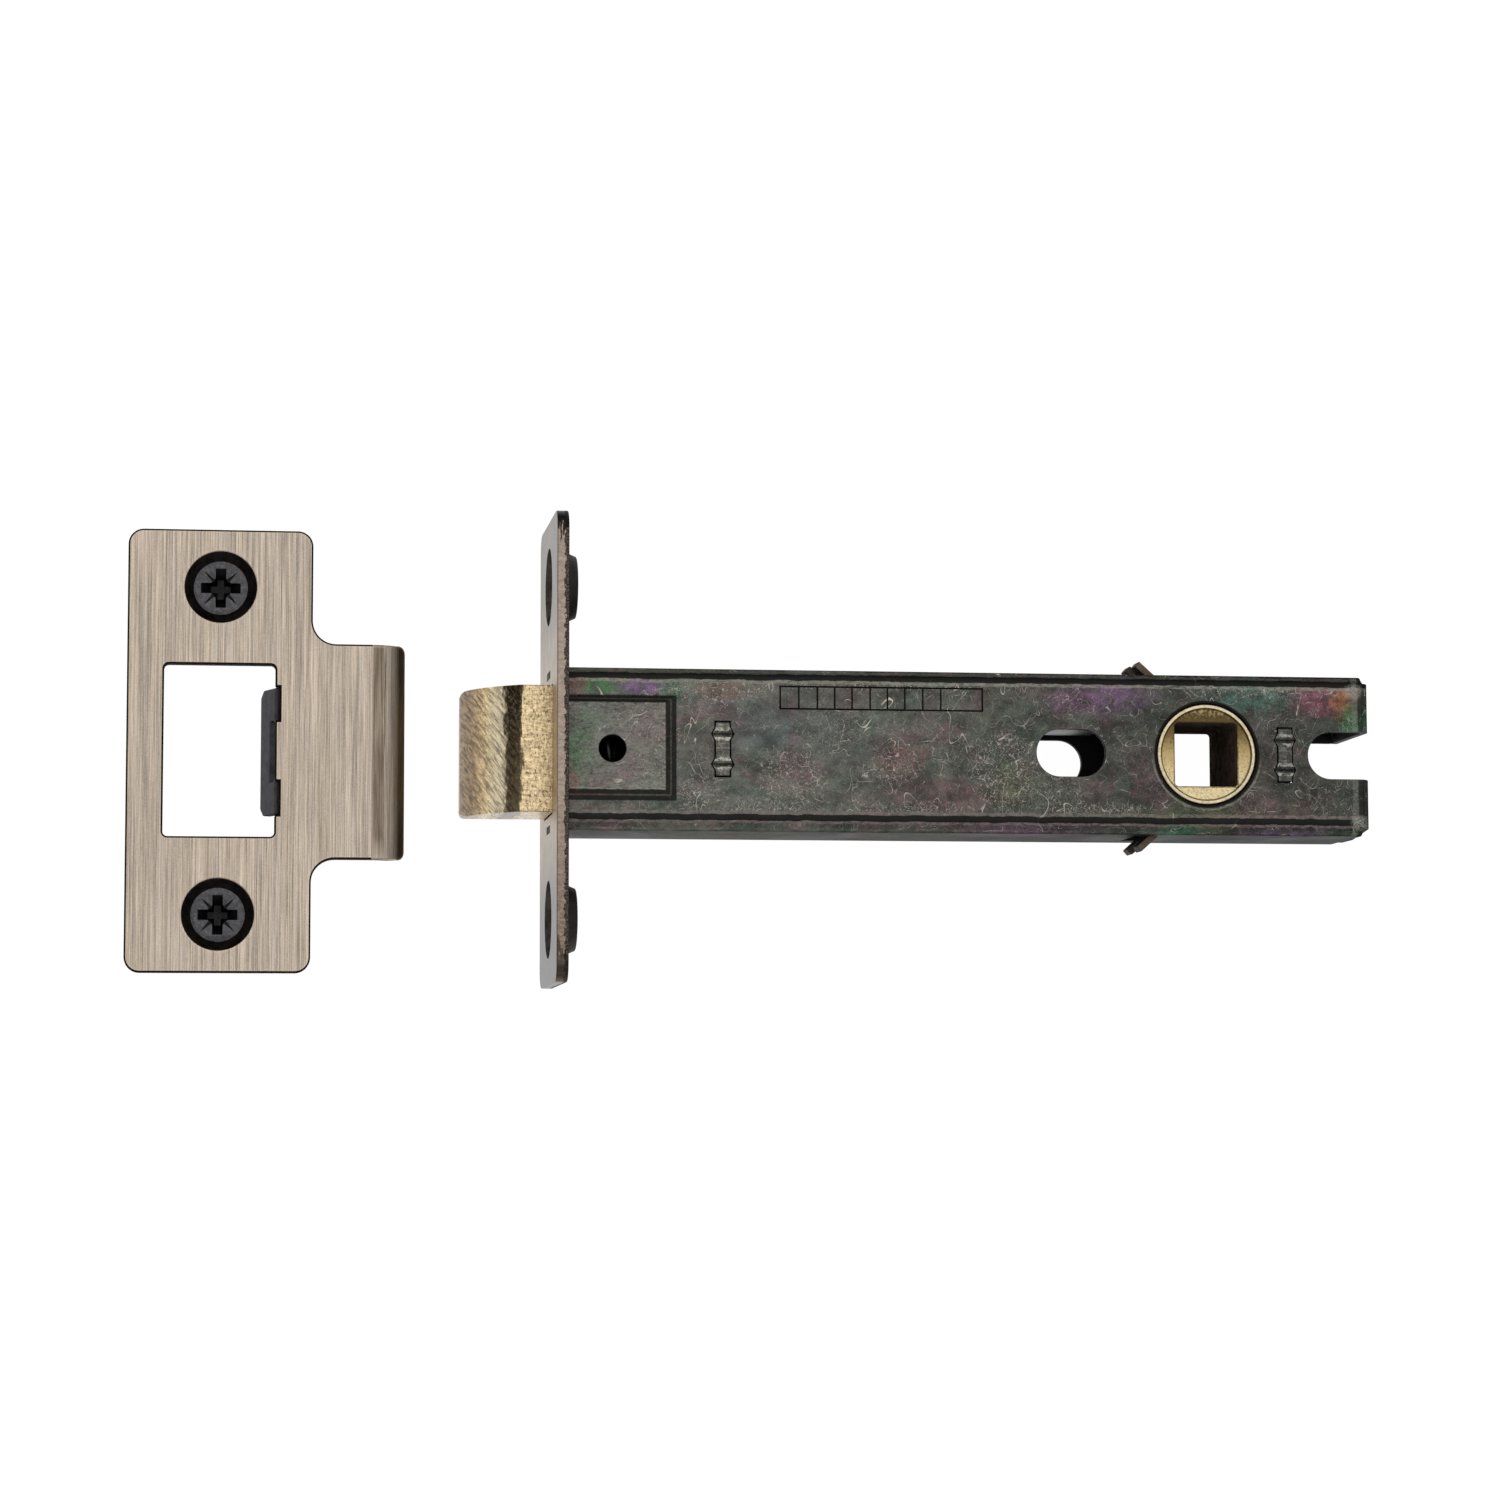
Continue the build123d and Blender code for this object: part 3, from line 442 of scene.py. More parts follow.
def passivated_steel(name):
    """Black passivated sheet steel: dark grey-green with an oily bloom, dusty rub marks and scratches, with
    painted shade towards the rear, on the folds, the pressed panel's walls, round the hub and in the stamped
    lines, and painted highlights along the folds.
    """
    p = Paint(name)
    side = p.math("ABSOLUTE", p.y)
    cloud = p.noise(p.place, scale=0.10, detail=5.0, rough=0.55, distortion=0.6)
    drift = p.noise(p.stretched(1, 1, 1, (31, 17, 3)), scale=0.17, detail=5.0, rough=0.6, distortion=0.7)
    fine = p.noise(p.stretched(1, 1, 1, (3, 44, 9)), scale=1.1, detail=6.0, rough=0.72)
    grain = p.noise(p.stretched(1, 1, 1, (8, 2, 9)), scale=5.0, detail=3.0, rough=0.7)
    grey = p.ramp(
        cloud,
        (0.32, (0.056, 0.060, 0.054)), (0.46, (0.086, 0.084, 0.075)),
        (0.58, (0.098, 0.094, 0.086)), (0.72, (0.128, 0.120, 0.110)),
    )
    bloom = p.ramp(
        drift,
        (0.32, (0.050, 0.092, 0.070)), (0.46, (0.074, 0.092, 0.068)), (0.55, (0.094, 0.088, 0.072)),
        (0.63, (0.128, 0.070, 0.074)), (0.74, (0.100, 0.070, 0.112)),
    )
    color = p.mix(p.step(fine, 0.32, 0.66, 0.10, 0.62), grey, bloom)
    # Painted shade: darker towards the rear
    color = p.shade(color, p.step(p.x, 14.0, 98.0, 1.26, 0.66))
    ragged_edge = p.math("MULTIPLY", p.step(fine, 0.36, 0.60, 0.25, 1.0), p.step(p.z, 2.0, 6.5, 0.12, 1.0))
    # Stronger patches of bloom where the bath has drained off the corners
    for x, y, size_x, size_y, tint, amount in (
        (70.0, 7.3, 7.0, 2.6, (0.125, 0.068, 0.135), 0.75),
        (65.0, 6.4, 4.0, 1.6, (0.140, 0.070, 0.120), 0.60),
        (98.2, 7.2, 5.0, 2.6, (0.180, 0.062, 0.092), 0.85),
        (101.0, 6.6, 2.4, 2.4, (0.260, 0.120, 0.045), 0.75),
        (102.4, 4.4, 2.2, 2.8, (0.060, 0.170, 0.085), 0.90),
        (88.5, 7.6, 7.0, 2.4, (0.045, 0.125, 0.095), 0.70),
        (82.0, -8.2, 7.0, 2.0, (0.090, 0.120, 0.050), 0.55),
        (79.5, -9.8, 3.0, 1.2, (0.045, 0.150, 0.090), 0.80),
        (90.0, -7.6, 8.0, 2.2, (0.120, 0.080, 0.070), 0.45),
        (60.0, -9.6, 9.0, 1.4, (0.130, 0.070, 0.125), 0.60),
        (93.0, -9.9, 6.0, 1.4, (0.120, 0.085, 0.140), 0.60),
        (5.4, 7.7, 3.0, 1.3, (0.040, 0.130, 0.050), 0.90),
        (2.8, 7.8, 1.5, 1.4, (0.170, 0.045, 0.055), 0.75),
        (11.2, 7.7, 3.2, 1.2, (0.155, 0.080, 0.185), 0.85),
        (14.6, 7.0, 1.8, 1.8, (0.055, 0.130, 0.075), 0.70),
        (3.0, -0.6, 2.2, 4.4, (0.045, 0.110, 0.045), 0.85),
        (1.8, -4.4, 1.6, 2.2, (0.170, 0.050, 0.055), 0.70),
        (4.4, 3.6, 2.4, 2.0, (0.060, 0.110, 0.060), 0.55),
        (9.6, -2.2, 2.6, 2.4, (0.170, 0.085, 0.105), 0.55),
        (34.0, 7.2, 5.0, 2.6, (0.090, 0.080, 0.075), 0.50),
        (21.0, 7.4, 3.6, 1.2, (0.170, 0.070, 0.050), 0.55),
        (43.5, -1.0, 4.0, 2.0, (0.140, 0.062, 0.062), 0.70),
        (49.0, -5.6, 8.0, 2.4, (0.130, 0.064, 0.072), 0.60),
        (36.0, 1.0, 9.0, 4.0, (0.070, 0.090, 0.080), 0.35),
        (26.0, 3.0, 6.0, 3.6, (0.078, 0.094, 0.100), 0.55),
        (60.0, 1.5, 8.0, 5.0, (0.070, 0.092, 0.072), 0.45),
        (58.0, -4.0, 3.6, 3.0, (0.100, 0.110, 0.050), 0.50),
        (89.0, -1.0, 4.0, 6.0, (0.086, 0.076, 0.066), 0.50),
        (17.0, -3.4, 4.0, 2.6, (0.082, 0.088, 0.082), 0.50),
    ):
        ragged = p.times(p.spot(x, y, size_x * 1.15, size_y * 1.2), ragged_edge, amount)
        color = p.mix(ragged, color, tint)
    slow_mottle = p.noise(p.stretched(0.7, 1.0, 1.0, (61, 3, 0)), scale=0.42, detail=6.0, rough=0.68)
    color = p.shade(color, p.step(slow_mottle, 0.32, 0.68, 0.62, 1.34))
    color = p.shade(color, p.step(fine, 0.32, 0.68, 0.84, 1.16))
    color = p.shade(color, p.step(grain, 0.30, 0.70, 0.72, 1.28))
    # Dusty rub marks: a tangle of fine pale lines and specks, thick in some places
    crowd = p.math("MULTIPLY", p.step(drift, 0.52, 0.70), 0.22)
    for x, y, size_x, size_y, amount in (
        (12.6, 0.8, 3.0, 6.5, 1.00), (12.0, 4.6, 2.8, 2.0, 0.80), (20.0, 7.4, 7.0, 1.8, 0.80),
        (18.2, -5.4, 3.6, 2.4, 0.85), (30.0, -4.6, 4.4, 5.0, 0.90), (57.0, -2.6, 4.2, 5.2, 1.00),
        (42.5, -2.0, 4.5, 2.6, 0.60), (36.0, 3.0, 8.0, 3.2, 0.38), (50.0, 0.5, 6.0, 4.0, 0.35),
        (67.0, 6.4, 7.0, 2.6, 0.32), (63.5, -5.0, 5.0, 3.4, 0.42), (73.5, 0.0, 3.0, 7.0, 0.24),
        (92.0, 6.0, 6.0, 3.0, 0.26), (99.0, -6.0, 5.0, 3.4, 0.30), (88.0, -6.6, 6.0, 2.6, 0.26),
        (49.0, 7.4, 6.0, 1.6, 0.25), (24.0, -7.0, 7.0, 1.2, 0.75), (45.0, -7.1, 9.0, 0.9, 0.75),
        (68.0, -7.1, 8.0, 0.9, 0.70), (90.0, 7.9, 12.0, 0.9, 0.45), (40.0, 8.2, 16.0, 0.7, 0.55),
    ):
        crowd = p.math("MAXIMUM", crowd, p.math("MULTIPLY", p.spot(x, y, size_x * 1.3, size_y * 1.3), amount))
    hair_path = p.stretched(1, 1, 1, (4, 4, 0))
    hair_bend = p.vector("ADD", hair_path, p.vector("SCALE", p.noise_color(p.place, 0.30), scale=2.4))
    tangle = p.step(p.cells(hair_bend, scale=0.50), 0.007, 0.024, 1.0, 0.0)
    tangle_fine = p.step(p.cells(p.vector("ADD", hair_bend, (9, 3, 0)), scale=1.7), 0.018, 0.060, 1.0, 0.0)
    broken = p.step(p.noise(p.stretched(1, 1, 1, (3, 8, 1)), scale=0.9, detail=4.0, rough=0.7), 0.50, 0.60)
    specks = p.step(p.noise(p.place, scale=5.6, detail=3.0, rough=0.65), 0.600, 0.660)
    crumb_field = p.noise(p.stretched(1, 1, 1, (7, 1, 4)), scale=2.0, detail=6.0, rough=0.82)
    crumbs = p.step(crumb_field, 0.545, 0.625)
    dust = p.most(
        p.times(tangle_fine, p.step(crumb_field, 0.49, 0.57)), specks, p.math("MULTIPLY", crumbs, 0.32),
    )
    marks = p.times(dust, p.step(crowd, 0.05, 0.85))
    marks = p.math("MAXIMUM", marks, p.times(tangle, broken, p.step(crowd, 0.0, 0.5, 0.22, 0.75)))
    marks = p.math("MAXIMUM", marks, p.times(specks, p.step(fine, 0.50, 0.62), 0.36))
    # Long thin scratches along the level lines of a slow noise
    lines = ((0.13, 0.56, 1.0), (0.19, 0.46, 0.85), (0.16, 0.50, 0.75), (0.22, 0.53, 0.75))
    for number, (scale, level, amount) in enumerate(lines):
        field = p.stretched(1.0, 0.55, 1.0, (13 + 20 * number, 5, 0))
        slow = p.noise(field, scale=scale, detail=1.0, distortion=1.6)
        line = p.step(p.math("ABSOLUTE", p.math("SUBTRACT", slow, level)), 0.0006, 0.0024, 1.0, 0.0)
        seen = p.noise(p.stretched(1, 1, 1, (2 + 9 * number, 0, 0)), scale=0.16, detail=2.0)
        seen = p.step(seen, 0.47, 0.52)
        marks = p.math("MAXIMUM", marks, p.times(line, seen, amount))
    marks = p.math("MULTIPLY", marks, p.step(p.math("ABSOLUTE", p.z), 6.2, 6.9))
    color = p.mix(p.math("MULTIPLY", marks, 0.90), color, (0.68, 0.62, 0.54))
    # The folds: a painted highlight where the flat ends, painted shade in black in the bend, then a painted
    # highlight line, all patchy
    near = p.step(p.z, 4.6, 5.4)
    low = p.step(p.y, -1.0, 1.0, 1.0, 0.0)
    wobble = p.math("ADD", side, p.step(p.noise(p.stretched(0.5, 0.1, 1), detail=4.0), 0.3, 0.7, -0.07, 0.07))
    wobble = p.math("ADD", wobble, p.math("MULTIPLY", low, 0.58))
    patchy = p.step(p.noise(p.stretched(1.6, 4.0, 4.0, (0, 6, 0)), detail=5.0, rough=0.75), 0.36, 0.62)
    fold_highlight_tint = p.mix(low, (0.255, 0.250, 0.205), (0.200, 0.165, 0.150))
    uneven = p.times(p.band(wobble, 8.34, 8.60, 0.14), p.step(patchy, 0.0, 1.0, 0.12, 0.85), near)
    color = p.mix(uneven, color, fold_highlight_tint)
    black = p.times(p.band(wobble, 8.76, 9.44, 0.10), near, 0.95)
    color = p.mix(black, color, (0.014, 0.014, 0.013))
    lighter_mask = p.times(p.band(wobble, 9.56, 9.78, 0.08), p.step(patchy, 0.0, 1.0, 0.15, 0.95), near)
    color = p.mix(lighter_mask, color, p.mix(low, (0.105, 0.100, 0.092), (0.260, 0.205, 0.195)))
    flat = p.step(side, 8.3, 8.8, 1.0, 0.0)
    # The rear fold: a painted highlight, then painted shade in its bend and on the end wall
    rear = p.times(p.band(p.x, 102.05, 102.60, 0.15), p.step(patchy, 0.0, 1.0, 0.10, 0.55), near)
    color = p.mix(rear, color, (0.200, 0.205, 0.170))
    rear_dark = p.times(p.most(p.band(p.x, 102.85, 103.35, 0.12), p.step(p.x, 103.95, 104.15)), near, 0.80)
    color = p.mix(rear_dark, color, (0.020, 0.020, 0.019))
    corner = p.times(p.spot(102.2, 8.2, 1.6, 1.2), p.step(grain, 0.35, 0.6), 0.6)
    corner = p.math("MAXIMUM", corner, p.times(p.spot(103.0, -8.6, 1.6, 1.2), p.step(grain, 0.35, 0.6), 0.8))
    color = p.mix(corner, color, (0.36, 0.36, 0.32))
    # The pressed panel: sloping walls painted dark as shade, with a rubbed line along the middle and a
    # painted highlight along the foot
    in_panel = p.step(p.x, PANEL_X + 0.02, PANEL_X + 0.12, 1.0, 0.0)
    in_panel = p.times(in_panel, p.step(side, 6.72, 6.80, 1.0, 0.0))
    wall = p.times(p.band(p.z, 7.10, 7.53, 0.03), in_panel)
    color = p.mix(p.math("MULTIPLY", wall, 0.90), color, (0.013, 0.013, 0.012))
    ridge = p.times(p.band(p.z, 7.30, 7.34, 0.030), in_panel, p.step(patchy, 0.0, 1.0, 0.35, 0.85))
    color = p.mix(ridge, color, p.mix(p.step(p.x, 5.0, 11.0), (0.120, 0.075, 0.068), (0.105, 0.103, 0.070)))
    foot = p.times(p.band(p.z, 7.035, 7.10, 0.02), in_panel, p.step(p.z, 7.045, 7.055), patchy, 0.6)
    color = p.mix(foot, color, (0.36, 0.34, 0.30))
    # A black ring of painted shadow and burr in the gap round the hub's journal, and a painted highlight on
    # the hole's lower rim
    hub = p.far(SPINDLE_X, 0.0)
    moat = p.times(p.step(hub, 6.92, 6.74), p.step(p.z, 7.0, 7.2), 0.94)
    color = p.mix(moat, color, (0.008, 0.008, 0.007))
    halo = p.times(
        p.band(hub, 6.98, 7.12, 0.08), p.step(p.y, 1.0, -3.0), p.step(p.z, 7.0, 7.2),
        p.step(patchy, 0.0, 1.0, 0.2, 0.7),
    )
    color = p.mix(halo, color, (0.26, 0.25, 0.20))
    # Stamped lines of the blank cells, painted dark in their grooves as shade
    in_cells = p.times(
        p.band(p.x, CELLS_X[0] - 0.3, CELLS_X[1] + 0.3, 0.02),
        p.band(p.y, CELLS_Y[0] - 0.3, CELLS_Y[1] + 0.3, 0.02),
    )
    cut = p.times(in_cells, p.step(p.z, 7.50, 7.575, 1.0, 0.0), flat)
    color = p.mix(cut, color, (0.008, 0.008, 0.008))
    height = p.noise(p.place, scale=2.6, detail=6.0, rough=0.7)
    height = p.math("SUBTRACT", height, p.math("MULTIPLY", marks, 0.35))
    rough = p.math("ADD", p.step(cloud, 0.3, 0.7, 0.30, 0.42), p.math("MULTIPLY", marks, 0.20))
    return p.done(color, rough, p.bump(height, 0.045), metallic=0.92, specular_tint=(0.25, 0.25, 0.26, 1.0))


def bolt_brass(name):
    """Pale brass with fine level lines on its sides and slanting strokes on its bevel, with painted highlight
    and shade across the bevel and painted shade on its lower side and edges.
    """
    p = Paint(name)
    level = p.noise(p.stretched(0.9, 4.2, 0.9), detail=6.0, rough=0.78)
    upright = p.noise(p.stretched(3.4, 1.0, 1.0, (5, 1, 2)), detail=5.0, rough=0.75)
    slanted = p.turned(-34.0)
    strokes = p.noise(p.vector("MULTIPLY", slanted, (4.2, 0.42, 0.6)), detail=5.0, rough=0.75)
    pits = p.noise(p.stretched(3.0, 1.8, 3.0, (2, 9, 4)), detail=6.0, rough=0.80)
    on_bevel = p.step(p.x, -4.3, -4.0, 1.0, 0.0)
    grain = p.mix(on_bevel, p.mix(0.45, level, upright), strokes)
    # Painted light across the bevel: brown at the nose, a painted highlight in the middle, dimmer beside the
    # near face
    base = p.ramp(
        p.step(p.x, -11.0, -4.0),
        (0.00, (0.250, 0.176, 0.110)), (0.16, (0.370, 0.268, 0.160)), (0.36, (0.640, 0.480, 0.275)),
        (0.50, (1.000, 0.820, 0.520)), (0.76, (1.000, 0.860, 0.590)), (0.93, (0.720, 0.560, 0.330)),
    )
    light = p.step(grain, 0.36, 0.64, 0.40, 1.46)
    # Painted dark reflection: a dark band on the bevel, beside its edge with the near face, broken by the
    # pits
    ragged = p.noise(p.stretched(1.2, 0.35, 1, (3, 3, 3)), detail=4.0)
    edge = p.math("ADD", p.x, p.step(ragged, 0.3, 0.7, -0.35, 0.35))
    top_share = p.step(p.y, -8.0, 8.0, 0.82, 0.97)
    face = p.step(p.math("ABSOLUTE", p.y), 8.62, 8.50)
    painted_dark_band = p.times(p.band(edge, -5.72, -3.95, 0.30), face, top_share, p.step(pits, 0.62, 0.50, 0.35, 1.0))
    freckles = p.times(p.step(pits, 0.540, 0.600), p.step(p.x, -8.0, -3.6, 0.35, 0.95))
    color = p.shade(base, light)
    color = p.mix(painted_dark_band, color, (0.020, 0.014, 0.008))
    color = p.mix(freckles, color, (0.085, 0.062, 0.034))
    # Painted shade: the lower side darker, and dark lines along both side edges
    low = p.step(p.y, -8.2, -8.7)
    color = p.mix(p.math("MULTIPLY", low, 0.75), color, p.shade((0.150, 0.128, 0.108), light))
    outline = p.most(p.band(p.y, 8.40, 8.62, 0.10), p.band(p.y, -8.62, -8.40, 0.12))
    outline = p.times(outline, 0.72, p.step(p.z, -4.0, -3.0), p.step(pits, 0.60, 0.45, 0.4, 1.0))
    color = p.mix(outline, color, (0.040, 0.030, 0.018))
    metal = p.step(p.x, -8.3, -6.9, 0.95, 0.15)
    metal = p.math("MAXIMUM", metal, p.step(p.x, -5.9, -5.2))
    rough = p.step(pits, 0.4, 0.65, 0.24, 0.40)
    return p.done(color, rough, p.bump(grain, 0.030), metallic=metal, specular_ior_level=0.1)


def follower_brass(name):
    """Brass of the hub: a bright turned rim round a dished face with golden-brown tarnish, the face darker
    towards its top as painted shade, with a painted highlight at its top edge.
    """
    p = Paint(name)
    far = p.far(SPINDLE_X, 0.0)
    grain = p.noise(p.place, scale=2.6, detail=6.0, rough=0.75)
    pits = p.step(p.noise(p.place, scale=3.6, detail=5.0, rough=0.75), 0.53, 0.64)
    light = p.step(grain, 0.3, 0.7, 0.66, 1.25)
    level = p.math("ADD", p.y, p.step(grain, 0.3, 0.7, -1.0, 1.0))
    # Painted shade: the dished face darker towards its top, under the rim, and a painted highlight at the
    # very top
    face = p.ramp(
        p.step(level, -6.4, 6.4),
        (0.00, (0.760, 0.640, 0.370)), (0.30, (0.640, 0.510, 0.265)), (0.55, (0.470, 0.350, 0.155)),
        (0.80, (0.160, 0.108, 0.040)), (0.97, (0.100, 0.070, 0.028)), (1.00, (0.330, 0.250, 0.120)),
    )
    color = p.mix(p.math("MULTIPLY", pits, 0.60), p.shade(face, light), (0.075, 0.052, 0.020))
    rim = p.step(far, 5.86, 5.94)
    color = p.mix(rim, color, p.shade((0.720, 0.610, 0.400), light))
    gap = p.band(far, 5.70, 5.86, 0.05)
    color = p.mix(p.math("MULTIPLY", gap, 0.40), color, (0.090, 0.066, 0.030))
    outside = p.step(far, 6.33, 6.39)
    color = p.mix(outside, color, (0.090, 0.070, 0.038))
    from_axis = p.math("ABSOLUTE", p.math("SUBTRACT", p.x, SPINDLE_X))
    across = p.math("MAXIMUM", from_axis, p.math("ABSOLUTE", p.y))
    edge = p.times(p.band(across, 4.02, 4.20, 0.05), p.step(grain, 0.35, 0.60, 0.2, 0.85))
    color = p.mix(edge, color, (0.060, 0.045, 0.020))
    return p.done(color, 0.34, p.bump(grain, 0.05))


def plain_steel(name, tint, rough=0.4, lines=(3.0, 3.0, 3.0)):
    """Steel with drawn or rolled lines, from a colour and how the lines run."""
    p = Paint(name)
    grain = p.noise(p.stretched(*lines), detail=4.0, rough=0.65)
    patch = p.noise(p.place, scale=0.4, detail=3.0)
    light = p.math("MULTIPLY", p.step(grain, 0.3, 0.7, 0.82, 1.15), p.step(patch, 0.3, 0.7, 0.9, 1.08))
    return p.done(p.shade(tint, light), rough, p.bump(grain, 0.015))


def staked_steel(name, tint):
    """Bare tenon ends: bruised metal, with painted highlights on the swollen edges and painted shade in the
    chisel grooves and at the ends.
    """
    p = Paint(name)
    bruise = p.noise(p.place, scale=1.9, detail=6.0, rough=0.75)
    lines = p.noise(p.stretched(0.6, 5.0, 1.0), detail=3.0)
    color = p.ramp(
        p.math("ADD", p.math("MULTIPLY", bruise, 0.7), p.math("MULTIPLY", lines, 0.3)),
        (0.34, tuple(0.28 * c for c in tint)), (0.50, tuple(0.9 * c for c in tint)),
        (0.64, tuple(2.6 * c for c in tint)),
    )
    side = p.math("ABSOLUTE", p.y)
    # Painted shade in the chisel grooves and at the ends, painted highlights on the swollen edges
    crease = p.band(side, 1.82, 1.96, 0.07)
    color = p.mix(p.math("MULTIPLY", crease, 0.85), color, (0.012, 0.011, 0.010))
    swell = p.most(p.band(side, 1.12, 1.45, 0.12), p.band(side, 2.30, 2.60, 0.12))
    swell = p.times(swell, p.step(bruise, 0.40, 0.58))
    color = p.mix(p.math("MULTIPLY", swell, 0.75), color, tuple(min(0.75, 4.6 * c) for c in tint))
    ends = p.step(side, 3.10, 3.35)
    color = p.mix(p.math("MULTIPLY", ends, 0.6), color, (0.02, 0.018, 0.015))
    return p.done(color, 0.34, p.bump(bruise, 0.13))


def black_screw(name, base=0.092, rub=0.30):
    p = Paint(name)
    uneven = p.noise(p.place, scale=1.8, detail=6.0, rough=0.72)
    grit = p.step(p.noise(p.place, scale=5.0, detail=3.0, rough=0.6), 0.57, 0.70)
    color = p.ramp(
        uneven, (0.32, (base * 0.55, base * 0.54, base * 0.58)), (0.55, (base, base * 0.97, base * 1.02)),
        (0.70, (base * 1.7, base * 1.6, base * 1.5)),
    )
    color = p.mix(p.math("MULTIPLY", grit, rub), color, (0.26, 0.24, 0.21))
    return p.done(color, 0.40, p.bump(uneven, 0.04))


brass_top = brushed_brass("antique_brass_brushed", (0.470, 0.402, 0.330))
brass_flat = forend_face_brass("antique_brass_forend")
brass_dark = patina("antique_brass_patina", (0.018, 0.015, 0.013), rub=0.12)
brass_tang = tang_slate("antique_brass_tang")
# The forend's countersinks: grey patina, as painted shade
cone_metal = patina("antique_brass_countersink", (0.060, 0.054, 0.048), rub=0.15)
dimple_metal = dull_dark("antique_brass_dimple", (0.013, 0.011, 0.009), 0.35)
edge_metal = forend_edge("antique_brass_punched_edge")
case_metal = passivated_steel("passivated_steel")
# passivated_steel_inside, bolt_brass_inside and follower_brass_inside: painted shade on surfaces that light
# hardly reaches
inside_metal = dull_dark("passivated_steel_inside", (0.008, 0.008, 0.008))
sheared_metal = patina("sheared_steel", (0.110, 0.082, 0.060), rub=0.40)
# Lighter bevel faces round the case's openings
rim_metal = patina("opening_rim", (0.150, 0.140, 0.125), rub=0.60)
bolt_metal = bolt_brass("bolt_brass")
bolt_inside = dull_dark("bolt_brass_inside", (0.010, 0.008, 0.005))
hub_metal = follower_brass("follower_brass")
hub_inside = dull_dark("follower_brass_inside", (0.075, 0.056, 0.042), 0.0)
tenon_metal = staked_steel("staked_steel", (0.150, 0.146, 0.124))
tenon_rear_metal = staked_steel("staked_steel_dull", (0.105, 0.104, 0.092))
bar_metal = plain_steel("zinced_strip", (0.30, 0.31, 0.32), lines=(0.2, 4.0, 4.0))
slide_metal = plain_steel("zinced_block", (0.28, 0.29, 0.30), 0.5)
wire_metal = plain_steel("spring_wire", (0.045, 0.045, 0.048), 0.40)
screw_metal = black_screw("black_screw")
# The driver recesses: a near-black copy of the screw's finish, as painted shade
screw_recess = black_screw("black_screw_recess", 0.018, 0.06)


SMOOTH_ANGLE = 40.0


def bevelled(mesh, width, sharp):
    """Round every edge of a mesh that turns by more than an angle."""
    form = bmesh.new()
    form.from_mesh(mesh)
    bmesh.ops.remove_doubles(form, verts=form.verts, dist=2e-6)
    bmesh.ops.dissolve_limit(form, angle_limit=math.radians(0.8), verts=form.verts, edges=form.edges)
    limit = math.radians(sharp)
    edges = [
        e for e in form.edges
        if len(e.link_faces) == 2 and e.calc_face_angle(0.0) > limit and e.calc_length() > 0.02 * MM
    ]
    bmesh.ops.bevel(
        form, geom=edges, offset=width * MM, segments=2, profile=0.5,
        affect="EDGES", clamp_overlap=False, offset_type="OFFSET",
    )
    form.to_mesh(mesh)
    form.free()


def boxes_mesh(name, boxes):
    """A mesh of plain boxes, each from its low and high corner in millimetres."""
    form = bmesh.new()
    for low, high in boxes:
        middle = (Vector(low) + Vector(high)) / 2 * MM
        size = (Vector(high) - Vector(low)) * MM
        place = Matrix.Translation(middle) @ Matrix.Diagonal((*size, 1.0))
        bmesh.ops.create_cube(form, size=1.0, matrix=place)
    mesh = bpy.data.meshes.new(name)
    form.to_mesh(mesh)
    form.free()
    return mesh


def cut(mesh, tool_mesh):
    """The mesh with a tool's boxes taken out."""
    work = link(bpy.data.objects.new("work", mesh))
    tool = link(bpy.data.objects.new("tool", tool_mesh))
    step = work.modifiers.new("cut", "BOOLEAN")
    step.operation = "DIFFERENCE"
    step.solver = "EXACT"
    step.use_self = False
    step.object = tool
    depsgraph = bpy.context.evaluated_depsgraph_get()
    result = bpy.data.meshes.new_from_object(work.evaluated_get(depsgraph))
    bpy.data.objects.remove(work)
    bpy.data.objects.remove(tool)
    return result


def finished(name, mesh, materials, choose, body, replaced, weighted=True):
    """An object from a mesh, with a material chosen for each face."""
    piece = link(bpy.data.objects.new(name, mesh))
    mesh.materials.clear()
    for material in materials:
        mesh.materials.append(material)
    for face in mesh.polygons:
        face.use_smooth = True
        face.material_index = choose(face.center / MM, face.normal) if choose else 0
    mesh.set_sharp_from_angle(angle=math.radians(SMOOTH_ANGLE))
    if weighted:
        flat_faces = piece.modifiers.new("flat_faces", "WEIGHTED_NORMAL")
        flat_faces.keep_sharp = True
        flat_faces.mode = "FACE_AREA"
    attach(piece, body)
    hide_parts(replaced)
    return piece


def dressed(node, width, materials, choose=None, body="case", sharp=32.0, **more):
    """A copy of a CAD node with its sharp edges rounded and a material chosen for each face."""
    mesh = nodes[node].data.copy()
    bevelled(mesh, width, sharp)
    return finished(node + "_dressed", mesh, materials, choose, body, node, **more)


SCREW_Z = 4.4
TANG_X = (-36.9, -33.2)
TANG_HALF_Y = 8.1
LIP_X = -24.5
FOREND_BACK_X = 1.55
COUNTERSINK_REACH = 4.95
BARB_X = (73.0, 78.2)
SLOT_X = (60.0, 71.0)
NOTCH_X = 94.0
HOLE_HALF_Y = 3.4
POCKET_X = -3.2
POCKET_REACH = 4.5
SCREW_SPACING = 40.5
SCREW_Y = (STRIKE_Y + SCREW_SPACING / 2, STRIKE_Y - SCREW_SPACING / 2)


# Each of these chooses a material for a face of a piece, from its centre and its normal
def strike_face(place, normal):
    in_tang = TANG_X[0] < place.x < TANG_X[1] and abs(place.y - STRIKE_Y) < TANG_HALF_Y
    if in_tang and place.z < STRIKE_Z - 0.2:
        return 2 if normal.x < -0.5 or normal.z > 0.5 else 1
    # Faces not flat on top take the dark patina: oxide on the sheared sides, painted shade on the rounded
    # edges and in the countersinks
    return 0 if normal.z > (0.97 if place.x < LIP_X else 0.30) else 1


